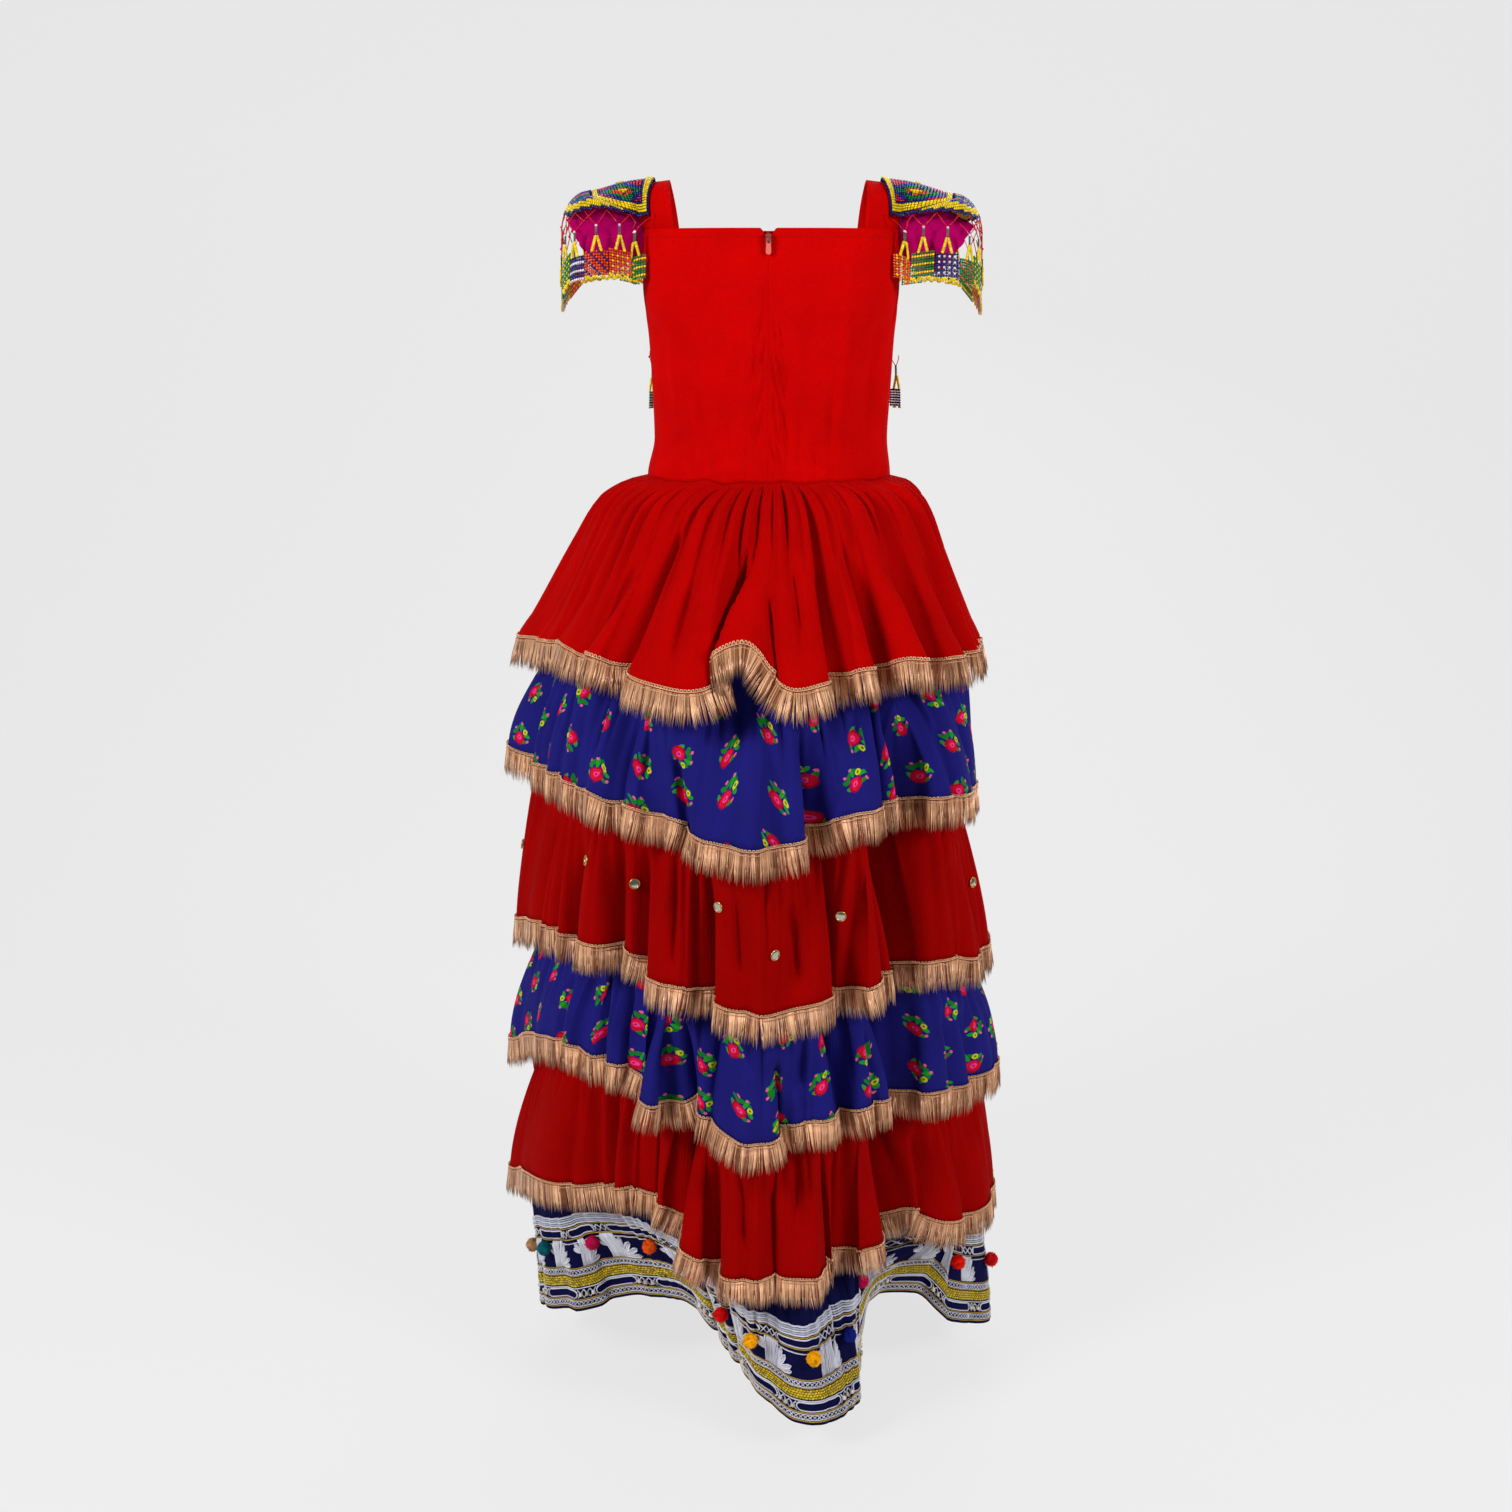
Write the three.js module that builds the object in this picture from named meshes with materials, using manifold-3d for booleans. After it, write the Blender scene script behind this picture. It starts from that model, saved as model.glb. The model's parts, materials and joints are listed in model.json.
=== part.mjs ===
// A tiered dress: fitted bodice, beaded shoulders, six gathered tiers with metallic fringes.
// Millimetres. The origin is on top of the shoulder straps, +Z is up, +X is the side on the
// right of someone behind the dress, and -Y is the back with its zip.

import * as THREE from 'three';
import { mergeVertices } from 'three/addons/utils/BufferGeometryUtils.js';
import Module from 'manifold-3d';

const wasm = await Module();
wasm.setup();

// Driving sizes
const cloth = 1.8;
const seamGap = 0.3;
const waistHeight = -307;
const neckHeight = -51;
const fringeLength = 34;
const fringeHeader = 6;
const seamAboveHem = 32;
const recessUnderHem = 11;
const sideAngle = 99;
const backStep = 6;
const backSteps = 33;
const frontSteps = 21;

// Horizontal sections of the bodice, from the neckline down to the waist
const bodiceSections = [
  { z: -51, left: 131, right: 138, back: 84, front: 80, round: 3.2 },
  { z: -101, left: 133, right: 140, back: 90, front: 100, round: 3.0 },
  { z: -162, left: 127, right: 135, back: 91, front: 113, round: 2.6 },
  { z: -223, left: 124, right: 132, back: 88, front: 117, round: 2.3 },
  { z: -265, left: 123, right: 130, back: 86, front: 104, round: 2.2 },
  { z: -307, left: 131, right: 134, back: 90, front: 92, round: 2.2 },
];

// Upper edge of the bodice, by angle from the centre back
const backEdge = [
  { at: 0, z: -61 },
  { at: 6, z: -51 },
  { at: 18, z: -51 },
  { at: 30, z: -51 },
  { at: 42, z: -51 },
  { at: 54, z: -51 },
  { at: 64, z: -51 },
  { at: 75, z: -51 },
  { at: 77, z: -100 },
  { at: 80, z: -125 },
  { at: 84, z: -142 },
  { at: 90, z: -150 },
];
const frontEdge = [
  { at: 0, z: -92 },
  { at: 16, z: -88 },
  { at: 30, z: -77 },
  { at: 42, z: -63 },
  { at: 54, z: -51 },
  { at: 64, z: -51 },
  { at: 75, z: -51 },
  { at: 77, z: -96 },
  { at: 80, z: -122 },
  { at: 84, z: -140 },
  { at: 90, z: -150 },
];
const bodiceRows = 5;

// Each tier hangs round its own centre. A row is a fold's crest or hollow at the hem:
// its angle from the centre back, its distance from the tier's centre and its lift.
const tiers = [
  {
    name: 'tier_1', centre: { x: -12, y: 0 }, hem: -497, front: 245, wave: 9, colour: 0xb00000,
    folds: [
      { at: -99, out: 276, lift: 2 },
      { at: -87, out: 252, lift: 8 },
      { at: -75, out: 240, lift: 14 },
      { at: -63, out: 234, lift: 20 },
      { at: -51, out: 232, lift: 14 },
      { at: -45, out: 247, lift: 22 },
      { at: -39, out: 232, lift: 12 },
      { at: -27, out: 251, lift: 4 },
      { at: -15, out: 258, lift: 0 },
      { at: -9, out: 244, lift: 12 },
      { at: -3, out: 232, lift: 46 },
      { at: 3, out: 242, lift: 20 },
      { at: 9, out: 256, lift: 2 },
      { at: 15, out: 251, lift: 6 },
      { at: 21, out: 230, lift: 8 },
      { at: 27, out: 246, lift: 16 },
      { at: 33, out: 226, lift: 10 },
      { at: 39, out: 248, lift: 22 },
      { at: 51, out: 222, lift: 6 },
      { at: 57, out: 244, lift: 10 },
      { at: 63, out: 250, lift: 8 },
      { at: 81, out: 250, lift: 8 },
      { at: 99, out: 254, lift: 0 },
    ],
  },
  {
    name: 'tier_2', centre: { x: -12, y: 5 }, hem: -658, front: 255, wave: 10, colour: 0x1c1878,
    folds: [
      { at: -99, out: 292, lift: 34 },
      { at: -87, out: 260, lift: 29 },
      { at: -75, out: 246, lift: 32 },
      { at: -63, out: 246, lift: 36 },
      { at: -51, out: 236, lift: 32 },
      { at: -45, out: 250, lift: 36 },
      { at: -39, out: 238, lift: 28 },
      { at: -33, out: 250, lift: 30 },
      { at: -27, out: 232, lift: 22 },
      { at: -21, out: 246, lift: 24 },
      { at: -15, out: 254, lift: 10 },
      { at: -3, out: 264, lift: 2 },
      { at: 3, out: 252, lift: 0 },
      { at: 9, out: 256, lift: 4 },
      { at: 15, out: 228, lift: 10 },
      { at: 21, out: 246, lift: 24 },
      { at: 27, out: 248, lift: 26 },
      { at: 33, out: 236, lift: 24 },
      { at: 39, out: 244, lift: 28 },
      { at: 45, out: 206, lift: 16 },
      { at: 51, out: 246, lift: 24 },
      { at: 57, out: 260, lift: 20 },
      { at: 69, out: 256, lift: 12 },
      { at: 87, out: 248, lift: 4 },
      { at: 99, out: 252, lift: 0 },
    ],
  },
  {
    name: 'tier_3', centre: { x: -12, y: 10 }, hem: -847, front: 260, wave: 11, colour: 0x8e0000,
    folds: [
      { at: -99, out: 292, lift: 6 },
      { at: -87, out: 268, lift: 22 },
      { at: -75, out: 254, lift: 34 },
      { at: -63, out: 242, lift: 40 },
      { at: -57, out: 224, lift: 34 },
      { at: -51, out: 244, lift: 48 },
      { at: -39, out: 222, lift: 44 },
      { at: -33, out: 220, lift: 34 },
      { at: -27, out: 240, lift: 25 },
      { at: -21, out: 232, lift: 21 },
      { at: -15, out: 218, lift: 14 },
      { at: -9, out: 242, lift: 8 },
      { at: 3, out: 242, lift: 1 },
      { at: 15, out: 239, lift: 7 },
      { at: 21, out: 228, lift: 6 },
      { at: 27, out: 210, lift: 6 },
      { at: 33, out: 238, lift: 17 },
      { at: 39, out: 236, lift: 18 },
      { at: 45, out: 200, lift: 4 },
      { at: 51, out: 234, lift: 19 },
      { at: 57, out: 252, lift: 20 },
      { at: 69, out: 264, lift: 5 },
      { at: 81, out: 272, lift: 0 },
      { at: 99, out: 268, lift: 0 },
    ],
  },
  {
    name: 'tier_4', centre: { x: -12, y: 15 }, hem: -1002, front: 265, wave: 12, colour: 0x1c1878,
    folds: [
      { at: -99, out: 304, lift: 0 },
      { at: -87, out: 272, lift: 30 },
      { at: -75, out: 258, lift: 50 },
      { at: -63, out: 246, lift: 60 },
      { at: -57, out: 230, lift: 56 },
      { at: -45, out: 232, lift: 58 },
      { at: -39, out: 212, lift: 48 },
      { at: -33, out: 237, lift: 27 },
      { at: -27, out: 196, lift: 20 },
      { at: -21, out: 208, lift: 27 },
      { at: -15, out: 226, lift: 20 },
      { at: -3, out: 236, lift: 3 },
      { at: 3, out: 238, lift: 0 },
      { at: 9, out: 216, lift: 10 },
      { at: 21, out: 222, lift: 15 },
      { at: 27, out: 209, lift: 7 },
      { at: 33, out: 225, lift: 18 },
      { at: 39, out: 226, lift: 19 },
      { at: 51, out: 196, lift: 2 },
      { at: 57, out: 243, lift: 10 },
      { at: 69, out: 258, lift: 0 },
      { at: 81, out: 284, lift: 0 },
      { at: 99, out: 290, lift: 0 },
    ],
  },
  {
    name: 'tier_5', centre: { x: -12, y: 20 }, hem: -1180, front: 270, wave: 12, colour: 0x8e0000,
    folds: [
      { at: -99, out: 312, lift: 0 },
      { at: -87, out: 286, lift: 26 },
      { at: -75, out: 270, lift: 42 },
      { at: -63, out: 240, lift: 54 },
      { at: -57, out: 222, lift: 60 },
      { at: -45, out: 214, lift: 72 },
      { at: -39, out: 198, lift: 70 },
      { at: -33, out: 209, lift: 66 },
      { at: -27, out: 190, lift: 52 },
      { at: -21, out: 226, lift: 24 },
      { at: -15, out: 204, lift: 8 },
      { at: -9, out: 222, lift: 0 },
      { at: 3, out: 215, lift: 0 },
      { at: 9, out: 224, lift: 0 },
      { at: 21, out: 216, lift: 0 },
      { at: 33, out: 188, lift: 0 },
      { at: 39, out: 220, lift: 6 },
      { at: 45, out: 216, lift: 8 },
      { at: 51, out: 184, lift: 14 },
      { at: 57, out: 224, lift: 30 },
      { at: 63, out: 250, lift: 10 },
      { at: 75, out: 276, lift: 0 },
      { at: 87, out: 291, lift: 4 },
      { at: 99, out: 294, lift: 0 },
    ],
  },
  {
    name: 'hem_tier', centre: { x: 0, y: 30 }, hem: -1385, front: 270, wave: 13, colour: 0x12124a,
    folds: [
      { at: -99, out: 290, lift: 8 },
      { at: -87, out: 278, lift: 36 },
      { at: -75, out: 250, lift: 62 },
      { at: -69, out: 196, lift: 80 },
      { at: -63, out: 160, lift: 88 },
      { at: -51, out: 132, lift: 88 },
      { at: -39, out: 121, lift: 70 },
      { at: -27, out: 124, lift: 50 },
      { at: -15, out: 138, lift: 36 },
      { at: -3, out: 178, lift: 25 },
      { at: 3, out: 196, lift: 18 },
      { at: 9, out: 211, lift: 6 },
      { at: 21, out: 212, lift: 0 },
      { at: 33, out: 198, lift: 0 },
      { at: 39, out: 174, lift: 0 },
      { at: 45, out: 160, lift: 16 },
      { at: 57, out: 144, lift: 62 },
      { at: 63, out: 150, lift: 82 },
      { at: 69, out: 188, lift: 86 },
      { at: 75, out: 244, lift: 46 },
      { at: 81, out: 264, lift: 26 },
      { at: 93, out: 288, lift: 4 },
      { at: 99, out: 291, lift: 0 },
    ],
  },
];

// The first tier puffs out from the waist seam: depth below the waist and share of the flare
const puffRows = [
  { down: 0.3, flare: 0, gather: 0 },
  { down: 7, flare: 0.18, gather: 4 },
  { down: 24, flare: 0.33, gather: 6 },
  { down: 68, flare: 0.53, gather: 4.5 },
  { down: 158, flare: 0.88, gather: 0 },
  { down: 190, flare: 1, gather: 0 },
];
const gatherCount = 44;

// Raised rows of the embroidered band on the hem tier: height above the hem and thickness
const bandRows = [
  { up: 124, raised: 0 },
  { up: 123, raised: 1.2 },
  { up: 109, raised: 1.2 },
  { up: 108, raised: 0 },
  { up: 95, raised: 0 },
  { up: 75, raised: 1.4, alternate: true },
  { up: 55, raised: 0 },
  { up: 54, raised: 1 },
  { up: 34, raised: 1 },
  { up: 33, raised: 0 },
];
const bandClear = 4;
const pompomRow = 95;
const pompomRadius = 9;
// Samples round the hem tier that carry a pompom
const pompomSamples = [1, 3, 5, 8, 11, 14, 16, 19, 22, 25, 29, 31, 34, 37, 40, 42, 45, 48, 50, 52];

// Round mirrors on the third tier: column of the skirt and share of the way down
const mirrorSpots = [
  { column: 0, down: 0.62 },
  { column: 7, down: 0.38 },
  { column: 10, down: 0.44 },
  { column: 14, down: 0.32 },
  { column: 17, down: 0.72 },
  { column: 20, down: 0.62 },
  { column: 29, down: 0.58 },
  { column: 34, down: 0.66 },
  { column: 37, down: 0.36 },
  { column: 40, down: 0.62 },
  { column: 43, down: 0.4 },
  { column: 46, down: 0.7 },
  { column: 49, down: 0.34 },
  { column: 52, down: 0.6 },
];
const mirrorRadius = 6;
const mirrorThickness = 1.6;

// The two shoulders differ a little, as the dress hangs
const shoulders = [
  { side: 'left', sign: -1, sleeveOut: 211, sleeveTop: -40, padOut: 182, padTop: -15 },
  { side: 'right', sign: 1, sleeveOut: 216, sleeveTop: -46, padOut: 190, padTop: -18 },
];

const colours = {
  bodice: 0xd20000, sleeve: 0xb0005e, gold: 0xc8966a, beads: 0x23307a,
  net: 0x9c1f3c, zip: 0xb01010, slider: 0xb8b8bc, pull: 0xe0707a, mirror: 0xe8eaf0, wool: 0xc8542c,
};

function fabric(colour) {
  return new THREE.MeshStandardMaterial({ color: colour, roughness: 0.8, side: THREE.DoubleSide });
}

function metal(colour) {
  return new THREE.MeshStandardMaterial({ color: colour, roughness: 0.35, metalness: 0.7 });
}

function mix(from, to, share) {
  return from + (to - from) * share;
}

// A value of a table at a place between its rows, eased so that folds are round
function between(rows, key, at, value, eased = false) {
  let i = 0;
  while (i < rows.length - 2 && (rows[i + 1][key] - at) * Math.sign(rows[1][key] - rows[0][key]) < 0) {
    i += 1;
  }
  const raw = (at - rows[i][key]) / (rows[i + 1][key] - rows[i][key]);
  const share = THREE.MathUtils.clamp(raw, 0, 1);
  const weight = eased ? (1 - Math.cos(Math.PI * share)) / 2 : share;
  return mix(rows[i][value], rows[i + 1][value], weight);
}

// Cloth surfaces are grids of points, grid[row][column], rows downwards and columns
// anticlockwise seen from above, so that a face's outside is known.
function faceNormal(a, b, c, d) {
  const across = b.clone().add(c).sub(a).sub(d);
  const up = a.clone().add(b).sub(c).sub(d);
  return across.cross(up).normalize();
}

// The grid moved out along its own normals, so that its faces lie parallel to the old ones
function movedOut(grid, distance, closed) {
  const columns = grid[0].length;
  const normalOf = (row, column) => {
    const sum = new THREE.Vector3();
    let faces = 0;
    for (const r of [row - 1, row]) {
      for (const c of [column - 1, column]) {
        const inside = r >= 0 && r < grid.length - 1 && (closed || (c >= 0 && c < columns - 1));
        if (inside) {
          const left = (c + columns) % columns;
          const right = (left + 1) % columns;
          sum.add(faceNormal(grid[r][left], grid[r][right], grid[r + 1][right], grid[r + 1][left]));
          faces += 1;
        }
      }
    }
    sum.divideScalar(faces);
    return sum.divideScalar(Math.max(sum.lengthSq(), 0.4));
  };
  return grid.map((points, row) => points.map((point, column) => (
    point.clone().addScaledVector(normalOf(row, column), distance)
  )));
}

// A closed wall between an outer and an inner grid. Both skins split a cell along the same
// diagonal, so a twisted cell stays a wall. keep(row, column) leaves out cells.
function clothWall(outer, inner, closed, keep = () => true) {
  const positions = [];
  const index = [];
  const place = (grid) => grid.map((points) => points.map((point) => {
    positions.push(point.x, point.y, point.z);
    return positions.length / 3 - 1;
  }));
  const face = (...corners) => {
    const same = (i, j) => [0, 1, 2].every((k) => (
      Math.abs(positions[3 * i + k] - positions[3 * j + k]) < 1e-4
    ));
    const distinct = corners.filter((corner, i) => !same(corner, corners[(i + 1) % corners.length]));
    for (let i = 1; i < distinct.length - 1; i += 1) {
      index.push(distinct[0], distinct[i], distinct[i + 1]);
    }
  };
  const skin = (grid, flip) => {
    for (let r = 0; r < grid.length - 1; r += 1) {
      for (let c = 0; c < grid[0].length - (closed ? 0 : 1); c += 1) {
        const next = (c + 1) % grid[0].length;
        const [a, b, d, e] = [grid[r][c], grid[r + 1][c], grid[r + 1][next], grid[r][next]];
        if (keep(r, c)) face(...(flip ? [a, e, d, b] : [a, b, d, e]));
      }
    }
  };
  const out = place(outer);
  const inn = place(inner);
  skin(out, false);
  skin(inn, true);
  const columns = outer[0].length;
  const cells = closed ? columns : columns - 1;
  const present = (r, c) => {
    const wrapped = closed ? (c + columns) % columns : c;
    return r >= 0 && r < outer.length - 1 && wrapped >= 0 && wrapped < cells && keep(r, wrapped);
  };
  if (outer.length !== inner.length) {
    const last = outer.length - 1;
    const innerLast = inner.length - 1;
    for (let c = 0; c < columns; c += 1) {
      const next = (c + 1) % columns;
      face(out[0][c], out[0][next], inn[0][next], inn[0][c]);
      face(inn[innerLast][c], inn[innerLast][next], out[last][next], out[last][c]);
    }
    return finished(positions, index);
  }
  for (let r = 0; r < outer.length - 1; r += 1) {
    for (let c = 0; c < cells; c += 1) {
      const next = (c + 1) % columns;
      if (present(r, c)) {
        if (!present(r - 1, c)) face(out[r][c], out[r][next], inn[r][next], inn[r][c]);
        if (!present(r + 1, c)) face(inn[r + 1][c], inn[r + 1][next], out[r + 1][next], out[r + 1][c]);
        if (!present(r, c - 1)) face(inn[r][c], inn[r + 1][c], out[r + 1][c], out[r][c]);
        if (!present(r, c + 1)) face(out[r][next], out[r + 1][next], inn[r + 1][next], inn[r][next]);
      }
    }
  }
  return finished(positions, index);
}

function finished(positions, index) {
  const geometry = new THREE.BufferGeometry();
  geometry.setAttribute('position', new THREE.Float32BufferAttribute(positions, 3));
  geometry.setIndex(index);
  const merged = mergeVertices(geometry, 1e-3);
  merged.computeVertexNormals();
  return merged;
}

// A strand or tab with four sides, lofted through its stations
function strand(stations) {
  const outer = [];
  for (const { centre, wide, thick } of stations) {
    outer.push([
      centre.clone().sub(wide).add(thick),
      centre.clone().add(wide).add(thick),
      centre.clone().add(wide).sub(thick),
      centre.clone().sub(wide).sub(thick),
    ]);
  }
  const positions = outer.flat().flatMap((point) => [point.x, point.y, point.z]);
  const index = [];
  const quad = (a, b, c, d) => index.push(a, b, c, a, c, d);
  for (let r = 0; r < outer.length - 1; r += 1) {
    for (let c = 0; c < 4; c += 1) {
      const next = (c + 1) % 4;
      quad(4 * r + c, 4 * (r + 1) + c, 4 * (r + 1) + next, 4 * r + next);
    }
  }
  const last = 4 * (outer.length - 1);
  quad(0, 1, 2, 3);
  quad(last + 3, last + 2, last + 1, last);
  return finished(positions, volume(positions, index) < 0 ? index.reverse() : index);
}

// Six times the signed volume inside the faces, which is negative if they face in
function volume(positions, index) {
  const corner = (i) => new THREE.Vector3().fromArray(positions, 3 * index[i]);
  let sum = 0;
  for (let i = 0; i < index.length; i += 3) {
    sum += corner(i).dot(corner(i + 1).cross(corner(i + 2)));
  }
  return sum;
}

function solidOf(geometry) {
  const plain = geometry.clone();
  plain.deleteAttribute('normal');
  plain.deleteAttribute('uv');
  const merged = mergeVertices(plain, 1e-4);
  return new wasm.Manifold(new wasm.Mesh({
    numProp: 3,
    vertProperties: Float32Array.from(merged.attributes.position.array),
    triVerts: Uint32Array.from(merged.index.array),
  }));
}

function geometryOf(solid) {
  const mesh = solid.getMesh();
  return finished(Array.from(mesh.vertProperties), Array.from(mesh.triVerts));
}

function fused(geometries) {
  return geometryOf(geometries.map(solidOf).reduce((sum, solid) => sum.add(solid)));
}

const dress = new THREE.Group();

function add(name, geometry, material) {
  const mesh = new THREE.Mesh(geometry, material);
  mesh.name = name;
  dress.add(mesh);
  return mesh;
}

// A point of the bodice at an angle from the centre back and a height
function bodicePoint(at, z, out = 0) {
  const angle = THREE.MathUtils.degToRad(at);
  const size = (value) => between(bodiceSections, 'z', z, value);
  const side = Math.sin(angle) < 0 ? size('left') : size('right');
  const depth = Math.cos(angle) > 0 ? size('back') : size('front');
  const round = size('round');
  const reach = (Math.abs(Math.sin(angle) / side) ** round
    + Math.abs(Math.cos(angle) / depth) ** round) ** (-1 / round);
  return new THREE.Vector3(
    (reach + out) * Math.sin(angle),
    -(reach + out) * Math.cos(angle),
    z,
  );
}

// A bodice panel whose columns run from the waist up to its edge
function bodicePanel(columns) {
  const grid = [];
  for (let row = 0; row <= bodiceRows; row += 1) {
    grid.push(columns.map(({ at, z }) => bodicePoint(at, mix(z, waistHeight, row / bodiceRows))));
  }
  return grid;
}

function partSeam(grid, column, axis, distance) {
  for (const points of grid) points[column][axis] += distance;
}

const backRight = bodicePanel(backEdge);
const backLeft = bodicePanel(backEdge.map(({ at, z }) => ({ at: -at, z })).reverse());
const frontColumns = [
  ...frontEdge.slice().reverse().map(({ at, z }) => ({ at: 180 - at, z })),
  ...frontEdge.slice(1).map(({ at, z }) => ({ at: 180 + at, z })),
];
const front = bodicePanel(frontColumns);
partSeam(backRight, 0, 'x', seamGap / 2);
partSeam(backRight, backEdge.length - 1, 'y', -seamGap / 2);
partSeam(backLeft, backEdge.length - 1, 'x', -seamGap / 2);
partSeam(backLeft, 0, 'y', -seamGap / 2);
partSeam(front, 0, 'y', seamGap / 2);
partSeam(front, frontColumns.length - 1, 'y', seamGap / 2);
for (const [name, grid] of [
  ['bodice_back_left', backLeft],
  ['bodice_back_right', backRight],
  ['bodice_front', front],
]) {
  add(name, clothWall(grid, movedOut(grid, -cloth, false), false), fabric(colours.bodice));
}

// Zip: tape behind the two back panels, slider in the notch, pull tab hinged on the slider
const tapeTop = -54;
const tapeHalf = 6;
const tapeGrid = [];
for (let row = 0; row <= bodiceRows; row += 1) {
  const z = mix(tapeTop, waistHeight + 3, row / bodiceRows);
  tapeGrid.push([-tapeHalf, 0, tapeHalf].map((at) => bodicePoint(at, z, -cloth - 1)));
}
add('zip_tape', clothWall(tapeGrid, movedOut(tapeGrid, -1, false), false), fabric(colours.zip));

const pullAxis = { y: -90.4, z: -62 };
const slider = { front: -89.4, back: -86.4, half: 3, top: -57, bottom: -67 };

function boxBetween(x, y, z) {
  const box = new THREE.BoxGeometry(x[1] - x[0], y[1] - y[0], z[1] - z[0]);
  box.translate((x[0] + x[1]) / 2, (y[0] + y[1]) / 2, (z[0] + z[1]) / 2);
  return box;
}

function sliderGeometry() {
  const bridge = { half: 0.8, inner: 1.7, outer: 2.8, depth: 2, bar: 0.9 };
  const z = (offset) => pullAxis.z + offset;
  const legs = [-1, 1].map((sign) => boxBetween(
    [-bridge.half, bridge.half],
    [slider.front - bridge.depth - bridge.bar, slider.front + 0.5],
    [z(sign * bridge.inner), z(sign * bridge.outer)].sort((a, b) => a - b),
  ));
  return fused([
    boxBetween([-slider.half, slider.half], [slider.front, slider.back], [slider.bottom, slider.top]),
    boxBetween([-1.2, 1.2], [slider.back - 0.5, -84], [-58.4, slider.top]),
    ...legs,
    boxBetween(
      [-bridge.half, bridge.half],
      [slider.front - bridge.depth - bridge.bar, slider.front - bridge.depth],
      [z(-bridge.outer), z(bridge.outer)],
    ),
  ]);
}

function pullGeometry() {
  const outline = new THREE.Shape();
  outline.moveTo(-1.9, 0.55);
  outline.lineTo(-2.5, -8.5);
  outline.absarc(0, -12.5, 2.7, Math.PI, 2 * Math.PI, false);
  outline.lineTo(2.5, -8.5);
  outline.lineTo(1.9, 0.55);
  outline.closePath();
  const window = new THREE.Path();
  window.moveTo(-1.15, -0.55);
  window.lineTo(1.15, -0.55);
  window.lineTo(1.15, -4.2);
  window.lineTo(-1.15, -4.2);
  window.closePath();
  outline.holes.push(window);
  const thickness = 1.1;
  const plate = new THREE.ExtrudeGeometry(outline, {
    depth: thickness, bevelEnabled: false, curveSegments: 8,
  });
  plate.rotateX(Math.PI / 2);
  plate.translate(0, thickness / 2, 0);
  return plate;
}

add('zip_slider', sliderGeometry(), metal(colours.slider));
const pull = add('zip_pull', pullGeometry(), metal(colours.pull));
pull.position.set(0, pullAxis.y, pullAxis.z);

// Straps, sleeve caps and beaded shoulder panels
const strapSpans = 10;
const extension = { angle: 76, z: -78 };

function strapPath(sign, endAngle, top) {
  const back = bodicePoint(sign * endAngle, neckHeight);
  const frontEnd = bodicePoint(sign * (180 - endAngle), neckHeight);
  const points = [];
  for (let i = 0; i <= strapSpans; i += 1) {
    const turn = (Math.PI * i) / strapSpans;
    const rise = Math.sin(turn) ** 0.9;
    points.push(new THREE.Vector3(
      mix(back.x, sign * top.x, rise),
      mix(back.y, frontEnd.y, (1 - Math.cos(turn)) / 2),
      mix(neckHeight + seamGap, top.z, rise),
    ));
  }
  return points;
}

// Columns of a shoulder piece run anticlockwise round the arm, seen from outside, so that
// the outside faces up: front to back on the left, back to front on the right.
function ordered(rows, sign) {
  return sign > 0 ? rows : rows.map((points) => points.slice().reverse());
}

function shoulderPieces({ side, sign, sleeveOut, sleeveTop, padOut, padTop }) {
  const neckPath = strapPath(sign, 54, { x: 103, z: 0 });
  const armPath = strapPath(sign, 75, { x: 146, z: -5 });
  const strap = ordered([neckPath, armPath], sign);
  const clear = strap.map((points) => points.map((point) => point.clone()));
  add(`strap_${side}`, clothWall(clear, movedOut(clear, -cloth, false), false), fabric(colours.bodice));

  const turns = armPath.map((_, i) => (Math.PI * i) / strapSpans);
  const root = armPath.map((point) => point.clone().add(new THREE.Vector3(sign * 1, 0, 0)));
  const middle = turns.map((turn) => new THREE.Vector3(
    sign * mix(172, 187, Math.sin(turn) ** 0.5),
    -58 * Math.sign(Math.cos(turn)) * Math.abs(Math.cos(turn)) ** 1.1,
    sleeveTop + 16 - 34 * Math.abs(Math.cos(turn)) ** 6,
  ));
  const hem = turns.map((turn) => new THREE.Vector3(
    sign * mix(178, sleeveOut, Math.sin(turn)),
    -62 * Math.cos(turn),
    mix(-104, sleeveTop, Math.sin(turn)),
  ));
  const tail = (front) => [
    bodicePoint(sign * (front ? 180 - extension.angle : extension.angle), extension.z, 0.6),
    new THREE.Vector3(sign * 160, (front ? 1 : -1) * 52, -88),
    new THREE.Vector3(sign * 163, (front ? 1 : -1) * 56, -116),
  ];
  const rows = [root, middle, hem].map((points, row) => [tail(false)[row], ...points, tail(true)[row]]);
  const sleeve = ordered(rows, sign);
  add(`sleeve_${side}`, clothWall(sleeve, movedOut(sleeve, -cloth, false), false), fabric(colours.sleeve));

  // The beaded panel lies on the strap and the cap
  const padTurns = turns.slice(1, -1);
  const padRows = [
    padTurns.map((turn, i) => neckPath[i + 1].clone().lerp(armPath[i + 1], 0.35 + 0.3 * Math.cos(turn) ** 2)),
    padTurns.map((_, i) => armPath[i + 1].clone()),
    padTurns.map((turn) => new THREE.Vector3(
      sign * padOut,
      -54 * Math.cos(turn),
      padTop - 9 * Math.cos(turn) ** 2,
    )),
  ];
  const under = movedOut(ordered(padRows, sign), 2.1, false);
  const over = movedOut(under, 2.6, false);
  add(`bead_panel_${side}`, clothWall(over, under, false), fabric(colours.beads));
  return { over: ordered(over, sign), under: ordered(under, sign) };
}

const pads = shoulders.map(shoulderPieces);

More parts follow.
